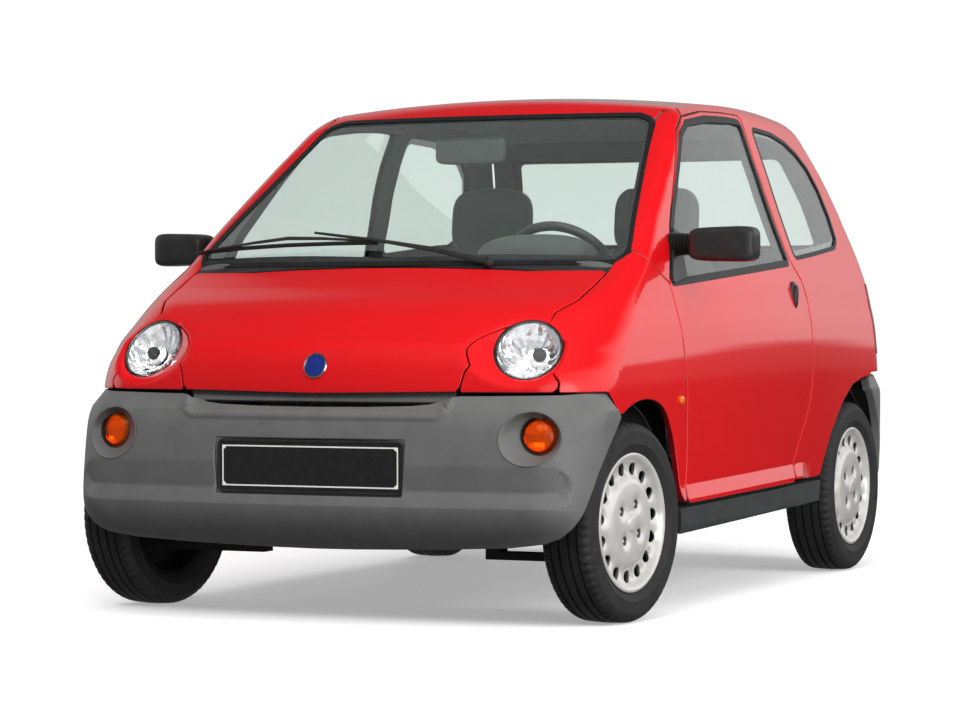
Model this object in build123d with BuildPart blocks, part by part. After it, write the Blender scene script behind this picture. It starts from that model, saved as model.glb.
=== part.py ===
"""A two-seat microcar, millimetres: +Z up, nose towards -Y, the car's left side at +X.

The origin is on the ground, under the middle of the car's box.
"""

from functools import lru_cache
from math import cos, hypot, radians, sin, sqrt
import os

from build123d import *

os.makedirs("parts", exist_ok=True)

# ---- driving dimensions ----------------------------------------------------------------
FRONT_AXLE_Y = -890.0
REAR_AXLE_Y = 875.0
WALL = 45.0  # doors, body sides and tailgate, outer skin to trim
SKIN = 28.0  # bonnet, wings and roof
SHUT_GAP = 5.0  # round every panel that opens
SEAT_GAP = 0.3  # between pieces that are fastened to each other
LATCH_GAP = 0.8  # between a closed lid or door and its striker
GLASS_SET = 4.0  # glass lies this far under the skin
GLASS_THICK = 5.0
BUMPER_WALL = 40.0
FAR = 1500.0  # past every surface of the car

# Heights of the splits between bumpers, body and cabin.
BUMPER_TOP_Z = 586.0
BELT_Z = 905.0
SILL_TOP_Z = 276.0
SILL_LOW_Z = 196.0
BODY_BOTTOM_Z = 190.0
ROOF_HALF_WIDTH = 505.0
ROOF_FRONT_Y = -260.0
ROOF_REAR_Y = 1100.0
ROOF_SPLIT_Z = 1290.0
WING_REAR_Y = -500.0
SCUTTLE_HALF_WIDTH = 598.0
SCUTTLE_Z = (880.0, 915.7)
SCUTTLE_Y = (-950.0, -600.0)

# Wheels and tyres.
TYRE_RADIUS = 254.0
TYRE_WIDTH = 145.0
TREAD_WIDTH = 104.0
SHOULDER = (64.0, 243.0)  # from the tyre's middle, from the axle
SIDEWALL_BULGE_RADIUS = 212.0
RIM_RADIUS = 178.0
BEAD_WIDTH = 112.0
WHEEL_X = 664.0  # middle of the tyre from the car's centre plane
KINGPIN_X = 600.0
STEERED_DEG = -6.3  # the front wheels are parked turned a little to the car's right
ARCH_RADIUS = 300.0
COVER_HOLES = 15
COVER_HOLE_RADIUS = 13.5
COVER_HOLE_CIRCLE = 134.0
STUB_RADIUS = 18.0
RUNNING_GAP = 0.05
KINGPIN_RADIUS = 12.0
KINGPIN_BOSS_RADIUS = 26.0
KINGPIN_BOSS_HEIGHT = 60.0
KINGPIN_LOW_Z = 170.0
KINGPIN_HIGH_Z = 345.0
HUB_INNER = -34.0  # along the wheel's axis from the tyre's middle, outwards positive
HUB_OUTER = 46.0
HUB_CAP_X = 58.0
STUB_END = 2.0  # the stub axle ends this far inside the hub

# Headlamps: 7-inch round units that look a little outwards and upwards from a dished seat.
HEADLAMP = (536.0, -1126.0, 693.0)  # middle of the lamp's front rim
HEADLAMP_RADIUS = 86.0
HEADLAMP_DEPTH = 70.0
HEADLAMP_DOME = 9.0
LENS_TOP_SHARE = 0.7  # of the lamp's radius, at the dome's height
HEADLAMP_TURN = 15.0
HEADLAMP_TILT = 33.0
BOWL_FLARE = 1.25  # the dish's growth in radius for each millimetre of height
BOWL_DRIFT = (-0.55, -0.5)  # and the drift of its middle, inwards and down
BOWL_HEIGHT = 60.0
INDICATOR = (601.0, -1211.0, 481.0)  # middle of the lens
INDICATOR_RADIUS = 38.0
INDICATOR_DEPTH = 60.0
FUNNEL_RADIUS = 66.0
FUNNEL_DEPTH = 34.0
TAIL_LAMP_DEPTH = SKIN

# Number plates.
PLATE_SIZE = (514.0, 115.0)
PLATE_THICK = 7.7
PLATE_SEAT_Y = 1296.0
FRONT_PLATE_Z = 399.5
REAR_PLATE_Z = 425.0

# Floor, bulkhead and frame.
FLOOR_Z = 214.0
FLOOR_THICK = 24.0
FLOOR_HALF_WIDTH = 691.0
FLOOR_FRONT_Y = -655.0
FLOOR_REAR_Y = 545.0
LOAD_FLOOR_Z = 330.0
LOAD_FLOOR_REAR_Y = 1180.0
SHEET = 12.0
FRONT_WELL_X = 436.0
FRONT_WELL_Y = -582.0
REAR_WELL_X = 540.0
BULKHEAD_TOP_Z = 852.0
LINER_GAP = 3.0
LINER_THICK = 4.0
ENGINE = ((-215, -1125, 290), (235, -765, 680))
RAIL_X = 300.0
RAIL_WIDTH = 44.0
RAIL_FRONT_Y = -1185.0
RAIL_LOW_Z = 262.0
RAIL_HIGH_Z = 312.0
CROSS_MEMBER_Y = (-1185.0, -1000.0, -820.0)
CROSS_MEMBER_WIDTH = 40.0

# Suspension and exhaust.
ARM_WIDTH = 50.0
ARM_THICK = 20.0
ARM_TIP = 16.0  # the arms reach this far past the kingpin's middle
STRUT_RADIUS = 32.0
STRUT_LENGTH = 240.0
STRUT_OUT = 72.0
STRUT_Z = 480.0
REAR_TUBE_RADIUS = 28.0
REAR_TUBE_END = 12.0
TRAILING_ARM_X = 430.0
TRAILING_ARM_Z = (236.0, 272.0)
MUFFLER = (40.0, 1080.0, 258.0)  # its middle
MUFFLER_RADIUS = 52.0
MUFFLER_LENGTH = 360.0
PIPE = (150.0, 852.0, 202.0)
PIPE_RADIUS = 18.0
PIPE_LENGTH = 464.0
HANGER_X = (-60.0, 140.0)
HANGER_WIDTH = 30.0

# Cabin fittings.
DASH_LOW_Z = 690.0
DASH_HALF_WIDTH = 634.0
HOOD_X = (215.0, 465.0)
STEERING_CENTRE = (340.0, -455.0, 868.0)
STEERING_RING = 162.0
STEERING_GRIP = 13.0
STEERING_TILT = 28.0
STEERING_HUB_RADIUS = 48.0
STEERING_HUB = (-22.0, 26.0)  # start behind the ring's plane, and length
SPOKE = (26.0, 9.0)
COLUMN_RADIUS = 30.0
COLUMN_LENGTH = 120.0
SEAT_X = (60.0, 470.0)
PLINTH_X = (110.0, 420.0)
HEADREST_X = (150.0, 385.0)
HEADREST_POST_X = (245.0, 285.0)
INNER_MIRROR = ((-105, -310, 1185), (105, -285, 1252))
INNER_MIRROR_STALK = ((-12, -312, 1240), (12, -292, 1300))
DOOR_MIRROR = ((725, -535, 912), (911, -440, 1008))
DOOR_MIRROR_EDGE = 22.0
BELLOWS_X = (640.0, 730.0)
BELLOWS_Y = -476.0
BELLOWS_Z = 962.0
BELLOWS_RADIUS = 22.0

# Plan sections of the body. Every section is eight tangent arcs: front, corner, side,
# corner, rear and back again. The rear arc and the side arc's middle are the same in all.
# columns: height, front y, half width, rear y, front radius, front corner, rear corner,
# side radius
LOWER = (
    (BODY_BOTTOM_Z, -1247, 737, 1300, 3000, 190, 110, 40000),
    (585, -1247, 740, 1300, 3000, 195, 110, 40000),
)
NOSE = (
    (585, -1247, 740, 1300, 3000, 195, 110, 40000),
    (640, -1239, 738, 1301, 3000, 212, 110, 38000),
    (693, -1218, 734, 1302, 2900, 250, 105, 34000),
    (745, -1151, 728, 1302, 2800, 246, 100, 31000),
    (800, -1062, 717, 1300, 2700, 210, 95, 28000),
    (855, -935, 706, 1297, 2420, 120, 90, 26000),
    (BELT_Z, -833, 693, 1286, 2250, 80, 85, 24000),
)
CABIN = (
    (BELT_Z, -833, 693, 1286, 2250, 80, 85, 24000),
    (1041, -638, 653, 1228, 2250, 52, 75, 19000),
    (1177, -440, 614, 1139, 2250, 52, 65, 15000),
    (1313, -244, 567, 1011, 2250, 56, 60, 12500),
    (1450, -44, 515, 860, 2250, 60, 60, 12000),
)
# The bumpers stand out a little from the body over a step at mid height.
BUMPERS = (
    (BODY_BOTTOM_Z, -1262, 738, 1290, 3000, 190, 130, 40000),
    (305, -1316, 742, 1312, 2600, 215, 130, 40000),
    (350, -1316, 743, 1315, 2600, 215, 130, 40000),
    (500, -1290, 743, 1315, 2600, 205, 125, 40000),
    (BUMPER_TOP_Z, -1252, 741, 1306, 3000, 196, 112, 40000),
)
REAR_ARC_RADIUS = 2600.0
SIDE_MIDDLE_Y = 50.0

ROOF_CROWN_Z = 1406.0
ROOF_MIDDLE_Y = 420.0
ROOF_CROSS_RADIUS = 4300.0
ROOF_LONG_RADIUS = 5200.0
ROOF_EDGE_RADIUS = 35.0


# ---- helpers ---------------------------------------------------------------------------
def circle_meet(first, first_radius, second, second_radius, front):
    """Return the meeting point of two circles that lies nearer the front or the rear."""
    dx, dy = second[0] - first[0], second[1] - first[1]
    distance = hypot(dx, dy)
    along = (first_radius**2 - second_radius**2 + distance**2) / (2 * distance)
    across = sqrt(first_radius**2 - along**2)
    middle = (first[0] + along * dx / distance, first[1] + along * dy / distance)
    offset = (across * dy / distance, -across * dx / distance)
    both = [(middle[0] + s * offset[0], middle[1] + s * offset[1]) for s in (1, -1)]
    return min(both, key=lambda p: p[1]) if front else max(both, key=lambda p: p[1])


def on_circle(centre, through, radius):
    """Return the point at a radius from a centre, on the line through a second point."""
    dx, dy = through[0] - centre[0], through[1] - centre[1]
    length = hypot(dx, dy)
    return (centre[0] + dx * radius / length, centre[1] + dy * radius / length)


def mirrored(point):
    return (-point[0], point[1])


def midway(a, b):
    return ((a[0] + b[0]) / 2, (a[1] + b[1]) / 2)


def plan_section(row, inset):
    """Draw one plan section, moved inwards by an inset, as a closed wire of eight arcs."""
    _, front_y, half_width, rear_y, front_r, front_corner, rear_corner, side_r = row
    nose = (0, front_y + front_r)
    tail = (0, rear_y - REAR_ARC_RADIUS)
    side = (half_width - side_r, SIDE_MIDDLE_Y)
    corner_f = circle_meet(nose, front_r - front_corner, side, side_r - front_corner, True)
    corner_r = circle_meet(
        tail, REAR_ARC_RADIUS - rear_corner, side, side_r - rear_corner, False
    )
    p1 = on_circle(nose, corner_f, front_r - inset)
    p2 = on_circle(side, corner_f, side_r - inset)
    p3 = on_circle(side, corner_r, side_r - inset)
    p4 = on_circle(tail, corner_r, REAR_ARC_RADIUS - inset)
    m12 = on_circle(corner_f, midway(p1, p2), front_corner - inset)
    m23 = on_circle(side, midway(p2, p3), side_r - inset)
    m34 = on_circle(corner_r, midway(p3, p4), rear_corner - inset)
    with BuildLine() as outline:
        ThreePointArc(mirrored(p1), (0, front_y + inset), p1)
        ThreePointArc(p1, m12, p2)
        ThreePointArc(p2, m23, p3)
        ThreePointArc(p3, m34, p4)
        ThreePointArc(p4, (0, rear_y - inset), mirrored(p4))
        ThreePointArc(mirrored(p4), mirrored(m34), mirrored(p3))
        ThreePointArc(mirrored(p3), mirrored(m23), mirrored(p2))
        ThreePointArc(mirrored(p2), mirrored(m12), mirrored(p1))
    return outline.wire()


def lofted(rows, inset, ruled=False):
    with BuildPart() as body:
        for row in rows:
            with BuildSketch(Plane.XY.offset(row[0])):
                make_face(plan_section(row, inset))
        loft(ruled=ruled)
    return body.part


def above_roof(inset):
    """Everything above the crowned roof: an arc turned about an axis far below the car."""
    swing = 22.0
    reach = 820.0
    cross = ROOF_CROSS_RADIUS - inset
    crown = ROOF_LONG_RADIUS - inset
    centre = (0, ROOF_MIDDLE_Y, ROOF_CROWN_Z - ROOF_LONG_RADIUS)
    start = Plane(
        origin=centre, x_dir=(1, 0, 0), z_dir=(0, -cos(radians(swing)), -sin(radians(swing)))
    )
    edge = crown - (cross - sqrt(cross**2 - reach**2))
    with BuildPart() as cap:
        with BuildSketch(start):
            with BuildLine():
                ThreePointArc((-reach, edge), (0, crown), (reach, edge))
                Polyline((reach, edge), (reach, crown + 500), (-reach, crown + 500), (-reach, edge))
            make_face()
        revolve(axis=Axis(centre, (-1, 0, 0)), revolution_arc=2 * swing)
    return cap.part


@lru_cache
def hull(inset):
    """The whole body's outer form, moved inwards by an inset."""
    with BuildPart() as cabin:
        add(lofted(CABIN, inset))
        add(above_roof(inset), mode=Mode.SUBTRACT)
        edge = cabin.edges().filter_by(lambda e: e.center().Z > 1280)
        fillet(edge, max(ROOF_EDGE_RADIUS - inset, 4))
    with BuildPart() as body:
        add(lofted(LOWER, inset, ruled=True))
        add(lofted(NOSE, inset))
        add(cabin.part)
    return body.part


def rounded(points, radius, grow=0.0):
    """A face inside a closed outline, with its corners rounded, moved outwards by grow."""
    with BuildSketch() as sketch:
        with BuildLine():
            FilletPolyline(*points, radius=radius, close=True)
        make_face()
        if grow:
            offset(amount=grow)
    return sketch.sketch


def along_x(points, low, high, radius=20.0, grow=0.0):
    """A prism with its outline in y, z, from x = low to x = high."""
    with BuildPart() as block:
        with BuildSketch(Plane.YZ.offset(low)):
            add(rounded(points, radius, grow))
        extrude(amount=high - low)
    return block.part


def along_y(points, low, high, radius=20.0, grow=0.0):
    """A prism with its outline in x, z, from y = low to y = high."""
    with BuildPart() as block:
        with BuildSketch(Plane.XZ.offset(-low)):
            add(rounded(points, radius, grow))
        extrude(amount=low - high)
    return block.part


def along_z(points, low, high, radius=20.0, grow=0.0):
    """A prism with its outline in x, y, from z = low to z = high."""
    with BuildPart() as block:
        with BuildSketch(Plane.XY.offset(low)):
            add(rounded(points, radius, grow))
        extrude(amount=high - low)
    return block.part


def block(low, high):
    """A plain block between two opposite corners."""
    size = [h - l for l, h in zip(low, high)]
    middle = [(h + l) / 2 for l, h in zip(low, high)]
    with BuildPart() as piece:
        with Locations(tuple(middle)):
            Box(*size)
    return piece.part


def cut(base, *tools):
    with BuildPart() as piece:
        add(base)
        for tool in tools:
            add(tool, mode=Mode.SUBTRACT)
    return piece.part


def common(base, tool):
    with BuildPart() as piece:
        add(base)
        add(tool, mode=Mode.INTERSECT)
    return piece.part


def joined(*pieces):
    with BuildPart() as piece:
        for one in pieces:
            add(one)
    return piece.part


def flipped(piece):
    with BuildPart() as other:
        add(piece)
        mirror(about=Plane.YZ, mode=Mode.REPLACE)
    return other.part


def disc(centre, radius, length, axis="x"):
    """A plain cylinder about an axis through its middle."""
    turn = {"x": (0, 90, 0), "y": (90, 0, 0), "z": (0, 0, 0)}[axis]
    with BuildPart() as piece:
        with Locations(Location(centre, turn)):
            Cylinder(radius, length)
    return piece.part


def save(piece, name):
    piece.label = name
    export_step(piece, f"parts/{name}.step")
    print(name, len(piece.solids()), round(piece.volume / 1e6, 3), piece.is_valid)


# ---- outlines of the panels -------------------------------------------------------------
# Side view, y and z.
DOOR = (
    (-560, 281), (-546, 400), (-541, 560), (-553, 736), (-572, 858), (-462, 1012),
    (-322, 1160), (-196, 1282), (-120, 1322), (60, 1346), (300, 1352), (462, 1350),
    (474, 1150), (492, 925), (503, 814), (492, 700), (478, 610), (452, 530),
    (400, 461), (334, 398), (292, 350), (284, 300),
)  # fmt: skip
DOOR_WINDOW = (
    (-540, 872), (-440, 1006), (-310, 1137), (-190, 1250), (-110, 1290), (60, 1318),
    (278, 1326), (430, 1326), (438, 1100), (432, 940),
)  # fmt: skip
QUARTER_WINDOW = (
    (508, 1324), (620, 1318), (740, 1298), (850, 1255), (930, 1180), (975, 1090),
    (1000, 992), (925, 966), (712, 946), (520, 934),
)  # fmt: skip
# Front view, x and z.
WINDSCREEN = ((-634, 916), (634, 916), (497, 1312), (450, 1326), (-450, 1326), (-497, 1312))
LAMP_PANEL = (
    (330, 560), (640, 560), (642, 640), (652, 700), (622, 770), (560, 800), (440, 800),
    (330, 700),
)  # fmt: skip
INTAKE = ((-352, 640), (-352, 588), (-300, 554), (300, 554), (352, 588), (352, 640))
# Plan view, x and y.
BONNET = (
    (-389, -1330), (389, -1330), (392, -1218), (420, -1175), (470, -1105), (548, -1018),
    (583, -935), (602, -850), (606, -790), (400, -822), (0, -838), (-400, -822),
    (-606, -790), (-602, -850), (-583, -935), (-548, -1018), (-470, -1105), (-420, -1175),
    (-392, -1218),
)  # fmt: skip
# Rear view, x and z.
TAILGATE = (
    (-560, 622), (560, 622), (604, 660), (612, 860), (600, 985), (556, 1150), (500, 1322),
    (-500, 1322), (-556, 1150), (-600, 985), (-612, 860), (-604, 660),
)  # fmt: skip
TAILGATE_WINDOW = (
    (-530, 962), (530, 962), (500, 1120), (456, 1276), (-456, 1276), (-500, 1120),
)  # fmt: skip
TAIL_LAMP = ((640, 640), (800, 640), (800, 868), (645, 868))
TAIL_LAMP_FRONT_Y = 1120.0
# Side view of the cabin's fittings, y and z.
DASH = (
    (-775, 884), (-640, 918), (-560, 930), (-528, 905), (-520, 770), (-570, DASH_LOW_Z),
    (-630, DASH_LOW_Z), (-641, 870), (-760, 856),
)  # fmt: skip
DASH_HOOD = ((-660, 900), (-600, 992), (-540, 985), (-530, 900))
SEAT_CUSHION = ((-130, 330), (-118, 452), (-60, 482), (250, 462), (330, 470), (330, 300), (-90, 300))
SEAT_BACK = ((230, 420), (340, 420), (475, 960), (430, 990), (385, 975), (262, 560))
HEADREST_POST = ((415, 900), (445, 900), (462, 1040), (432, 1040))
HEADREST = ((382, 985), (468, 975), (487, 1120), (450, 1154), (405, 1148), (384, 1100))

# The tailgate's skin overlaps its opening; its inner frame is narrower, to swing clear.
TAILGATE_SKIN = 12.0
TAILGATE_FRAME_INSET = 26.0
# Hinge tongues and strikers, which meet each closed lid or door inside its shut gap.
BONNET_TONGUE_X = (430.0, 470.0)
BONNET_TONGUE_Z = (871.0, 884.0)
BONNET_TONGUE_REAR_Y = -780.0
TAILGATE_TONGUE_X = (300.0, 340.0)
TAILGATE_TONGUE_REAR_Y = 976.0
TAILGATE_TONGUE_LOW_Z = 1318.0
STRIKER_X = (673.0, 680.0)
STRIKER_Z = (760.0, 800.0)
STRIKER_FRONT_Y = 400.0


def arch_cutter(axle_y, radius, x_low=420.0, x_high=800.0):
    """The round space over a wheel, open downwards."""
    with BuildPart() as space:
        with BuildSketch(Plane.YZ.offset(x_low)):
            with Locations((axle_y, TYRE_RADIUS)):
                Circle(radius)
            with Locations((axle_y, TYRE_RADIUS / 2 - radius / 8)):
                Rectangle(2 * radius, TYRE_RADIUS + radius / 4)
        extrude(amount=x_high - x_low)
    return space.part


# ---- lamps -------------------------------------------------------------------------------
def headlamp_face():
    """The plane of the left headlamp's front rim: its z axis points out of the lamp."""
    turn, tilt = radians(HEADLAMP_TURN), radians(HEADLAMP_TILT)
    out = (sin(turn) * cos(tilt), -cos(turn) * cos(tilt), sin(tilt))
    return Plane(origin=HEADLAMP, x_dir=(cos(turn), sin(turn), 0), z_dir=out)


def headlamp_space(grow):
    """The room that a headlamp needs, grown by a clearance."""
    with BuildPart() as space:
        with BuildSketch(headlamp_face().offset(-HEADLAMP_DEPTH - grow)):
            Circle(HEADLAMP_RADIUS + grow)
        extrude(amount=HEADLAMP_DEPTH + grow + BOWL_HEIGHT)
    return space.part


def bowl():
    """The dish in front of the left headlamp, an oblique cone that opens outwards."""
    rim = headlamp_face()
    with BuildPart() as dish:
        with BuildSketch(rim.offset(-SEAT_GAP)):
            Circle(HEADLAMP_RADIUS + SEAT_GAP)
        with BuildSketch(rim.offset(BOWL_HEIGHT)):
            with Locations((BOWL_DRIFT[0] * BOWL_HEIGHT, BOWL_DRIFT[1] * BOWL_HEIGHT)):
                Circle(HEADLAMP_RADIUS + BOWL_FLARE * BOWL_HEIGHT)
        loft()
    return dish.part


def headlamp():
    """A round lamp: its drum, and a lens that stands out over it."""
    face = headlamp_face()
    with BuildPart() as lamp:
        with BuildSketch(face.offset(-HEADLAMP_DEPTH)):
            Circle(HEADLAMP_RADIUS)
        extrude(amount=HEADLAMP_DEPTH)
        with BuildSketch(face):
            Circle(HEADLAMP_RADIUS)
        with BuildSketch(face.offset(HEADLAMP_DOME)):
            Circle(HEADLAMP_RADIUS * LENS_TOP_SHARE)
        loft()
    return lamp.part


def indicator_form(grow):
    x, y, z = INDICATOR
    middle = (x, y + INDICATOR_DEPTH / 2, z)
    return disc(middle, INDICATOR_RADIUS + grow, INDICATOR_DEPTH + 2 * grow, "y")


def funnel():
    """The flared recess round an indicator, out to the bumper's skin and past it."""
    x, y, z = INDICATOR
    growth = (FUNNEL_RADIUS - INDICATOR_RADIUS - SHUT_GAP) / FUNNEL_DEPTH
    reach = 2 * FUNNEL_DEPTH
    with BuildPart() as cone:
        with BuildSketch(Plane.XZ.offset(-y)):
            with Locations((x, z)):
                Circle(INDICATOR_RADIUS + SHUT_GAP)
        with BuildSketch(Plane.XZ.offset(-y + reach)):
            with Locations((x, z)):
                Circle(INDICATOR_RADIUS + SHUT_GAP + growth * reach)
        loft()
    return cone.part


def tail_lamp_zone(grow):
    return along_y(TAIL_LAMP, TAIL_LAMP_FRONT_Y, FAR, 8, grow)


def lamps():
    """Headlamps, indicators and tail lamps: one node for each kind, left and right alike."""
    lamp = headlamp()
    save(joined(lamp, flipped(lamp)), "headlamps")
    lens = indicator_form(0)
    save(joined(lens, flipped(lens)), "indicators")
    corner = common(thin_shell, tail_lamp_zone(-SEAT_GAP))
    save(joined(corner, flipped(corner)), "tail_lamps")


# ---- body skins --------------------------------------------------------------------------
outer = hull(0)
thick_shell = cut(outer, hull(WALL))
thin_shell = cut(outer, hull(SKIN))
inner_space = hull(WALL + SEAT_GAP)
glass_inner = hull(GLASS_SET + GLASS_THICK)
glass_layer = cut(hull(GLASS_SET), glass_inner)

left_half = block((SEAT_GAP / 2, -FAR, 0), (FAR, FAR, FAR))
front_arch = arch_cutter(FRONT_AXLE_Y, ARCH_RADIUS)
rear_arch = arch_cutter(REAR_AXLE_Y, ARCH_RADIUS)
door_gap = along_x(DOOR, ROOF_HALF_WIDTH + SHUT_GAP, 900, 12, SHUT_GAP)
bonnet_gap = along_z(BONNET, 400, 1000, 8, SHUT_GAP)
tailgate_gap = along_y(TAILGATE, 700, FAR, 20, SHUT_GAP)
roof_block = block((-ROOF_HALF_WIDTH, ROOF_FRONT_Y, ROOF_SPLIT_Z), (ROOF_HALF_WIDTH, ROOF_REAR_Y, FAR))
screen_cut = along_y(WINDSCREEN, -1000, -60, 25)


def panels():
    """The painted skins that meet at the seams of the real body."""
    tongue = block(
        (TAILGATE_TONGUE_X[0], 900, TAILGATE_TONGUE_LOW_Z),
        (TAILGATE_TONGUE_X[1], TAILGATE_TONGUE_REAR_Y, FAR),
    )
    tongue = cut(tongue, along_y(TAILGATE, 700, FAR, 20, LATCH_GAP))
    rear_gap = cut(tailgate_gap, tongue, flipped(tongue))
    save(cut(common(thin_shell, roof_block), screen_cut, rear_gap), "roof")

    lamp_room = headlamp_space(SHUT_GAP)
    bonnet_block = block((-FAR, -FAR, BUMPER_TOP_Z + SHUT_GAP), (FAR, 0, BELT_Z))
    bonnet = common(common(thin_shell, along_z(BONNET, 400, 1000, 8)), bonnet_block)
    save(cut(bonnet, lamp_room, flipped(lamp_room)), "bonnet")

    scuttle_block = block(
        (-SCUTTLE_HALF_WIDTH, SCUTTLE_Y[0], SCUTTLE_Z[0]),
        (SCUTTLE_HALF_WIDTH, SCUTTLE_Y[1], SCUTTLE_Z[1]),
    )
    tongue_block = block(
        (BONNET_TONGUE_X[0], SCUTTLE_Y[0], BONNET_TONGUE_Z[0]),
        (BONNET_TONGUE_X[1], BONNET_TONGUE_REAR_Y, BONNET_TONGUE_Z[1]),
    )
    tongue = cut(tongue_block, along_z(BONNET, 400, 1000, 8, LATCH_GAP))
    front_gap = cut(bonnet_gap, tongue, flipped(tongue))
    scuttle_zone = joined(scuttle_block, tongue_block, flipped(tongue_block))
    save(cut(common(thin_shell, scuttle_zone), front_gap), "scuttle")

    lamp_zone = along_y(LAMP_PANEL, -FAR, -900, 12)
    above_bumper = block((0, -FAR, BUMPER_TOP_Z + SEAT_GAP), (FAR, 0, FAR))
    lamp_panel = cut(
        common(common(thin_shell, lamp_zone), above_bumper),
        bonnet_gap,
        headlamp_space(SEAT_GAP),
        bowl(),
    )
    save(joined(lamp_panel, flipped(lamp_panel)), "lamp_panels")

    wing_zone = cut(
        block((SEAT_GAP, -FAR, SILL_TOP_Z + SEAT_GAP), (FAR, WING_REAR_Y, BELT_Z - SEAT_GAP)),
        block((0, -FAR, 0), (FAR, FRONT_AXLE_Y, BUMPER_TOP_Z + SEAT_GAP)),
        along_y(LAMP_PANEL, -FAR, -900, 12, SEAT_GAP),
        block((0, -FAR, 0), (BONNET[2][0] - 2, 0, FAR)),
        block((0, SCUTTLE_Y[0], SCUTTLE_Z[0] - 10), (SCUTTLE_HALF_WIDTH + SEAT_GAP, SCUTTLE_Y[1], FAR)),
    )
    wing = cut(common(thin_shell, wing_zone), bonnet_gap, front_arch, door_gap, headlamp_space(SEAT_GAP))
    both_sides(wing, "wing")

    side = cut(
        common(thick_shell, left_half),
        block((0, -FAR, 0), (FAR, WING_REAR_Y, BELT_Z)),
        block((0, -FAR, 0), (FAR, FAR, SILL_TOP_Z + SEAT_GAP)),
        block((0, REAR_AXLE_Y, 0), (FAR, FAR, BUMPER_TOP_Z + SEAT_GAP)),
        block(
            (-FAR, SCUTTLE_Y[0], 0),
            (SCUTTLE_HALF_WIDTH + SEAT_GAP, SCUTTLE_Y[1], SCUTTLE_Z[1] + SEAT_GAP),
        ),
        block(
            (-FAR, ROOF_FRONT_Y - SEAT_GAP, ROOF_SPLIT_Z - SEAT_GAP),
            (ROOF_HALF_WIDTH + SEAT_GAP, ROOF_REAR_Y, FAR),
        ),
        door_gap,
        tailgate_gap,
        screen_cut,
        along_x(QUARTER_WINDOW, 500, 900, 25),
        rear_arch,
        tail_lamp_zone(0),
    )
    striker_zone = block(
        (STRIKER_X[0], STRIKER_FRONT_Y, STRIKER_Z[0]), (STRIKER_X[1], 530, STRIKER_Z[1])
    )
    striker = cut(common(thick_shell, striker_zone), along_x(DOOR, 400, 900, 12, LATCH_GAP))
    both_sides(joined(side, striker), "body_side")


def both_sides(piece, name):
    save(piece, f"{name}_left")
    save(flipped(piece), f"{name}_right")


def openings():
    """Doors, tailgate and every pane of glass."""
    leaf = common(thick_shell, along_x(DOOR, ROOF_HALF_WIDTH + 2 * SHUT_GAP, 900, 12))
    both_sides(cut(leaf, along_x(DOOR_WINDOW, 400, 900, 20)), "door")
    pane = common(glass_layer, along_x(DOOR_WINDOW, 500, 900, 20, -SEAT_GAP))
    both_sides(pane, "door_glass")
    pane = common(glass_layer, along_x(QUARTER_WINDOW, 500, 900, 25, -SEAT_GAP))
    save(joined(pane, flipped(pane)), "quarter_glass")
    pane = common(glass_layer, along_y(WINDSCREEN, -1000, -60, 25, -SEAT_GAP))
    save(pane, "windscreen")

    skin = common(cut(outer, hull(TAILGATE_SKIN)), along_y(TAILGATE, 700, FAR, 20))
    frame = common(thick_shell, along_y(TAILGATE, 700, FAR, 20, -TAILGATE_FRAME_INSET))
    save(cut(joined(skin, frame), along_y(TAILGATE_WINDOW, 700, FAR, 30)), "tailgate")
    pane = common(glass_layer, along_y(TAILGATE_WINDOW, 700, FAR, 30, -SEAT_GAP))
    save(pane, "tailgate_glass")


def bumpers():
    """Moulded bumpers with the plate seats, the indicators' funnels and the air intake."""
    ring = cut(lofted(BUMPERS, 0), lofted(BUMPERS, BUMPER_WALL))
    front = common(ring, block((-FAR, -FAR, 0), (FAR, FRONT_AXLE_Y, BUMPER_TOP_Z)))
    hole, cone = indicator_form(SEAT_GAP), funnel()
    behind_skin = BUMPERS[-1][1] + BUMPER_WALL / 2
    front = cut(
        front, front_arch, flipped(front_arch), hole, flipped(hole), cone, flipped(cone),
        plate_recess(-1), along_y(INTAKE, -FAR, behind_skin, 14),
    )  # fmt: skip
    save(front, "front_bumper")
    rear = common(ring, block((-FAR, REAR_AXLE_Y, 0), (FAR, FAR, BUMPER_TOP_Z)))
    save(cut(rear, rear_arch, flipped(rear_arch), plate_recess(1)), "rear_bumper")


def plate_block(end, near, far, grow):
    """A block on the front (-1) or rear (1) bumper, as large as a number plate."""
    z = FRONT_PLATE_Z if end < 0 else REAR_PLATE_Z
    half, rise = PLATE_SIZE[0] / 2 + grow, PLATE_SIZE[1] / 2 + grow
    low, high = sorted((end * near, end * far))
    return block((-half, low, z - rise), (half, high, z + rise))


def plate_recess(end):
    return plate_block(end, PLATE_SEAT_Y - SEAT_GAP, FAR, SHUT_GAP)


def number_plates():
    plates = [plate_block(end, PLATE_SEAT_Y, PLATE_SEAT_Y + PLATE_THICK, 0) for end in (-1, 1)]
    save(joined(*plates), "number_plates")


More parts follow.
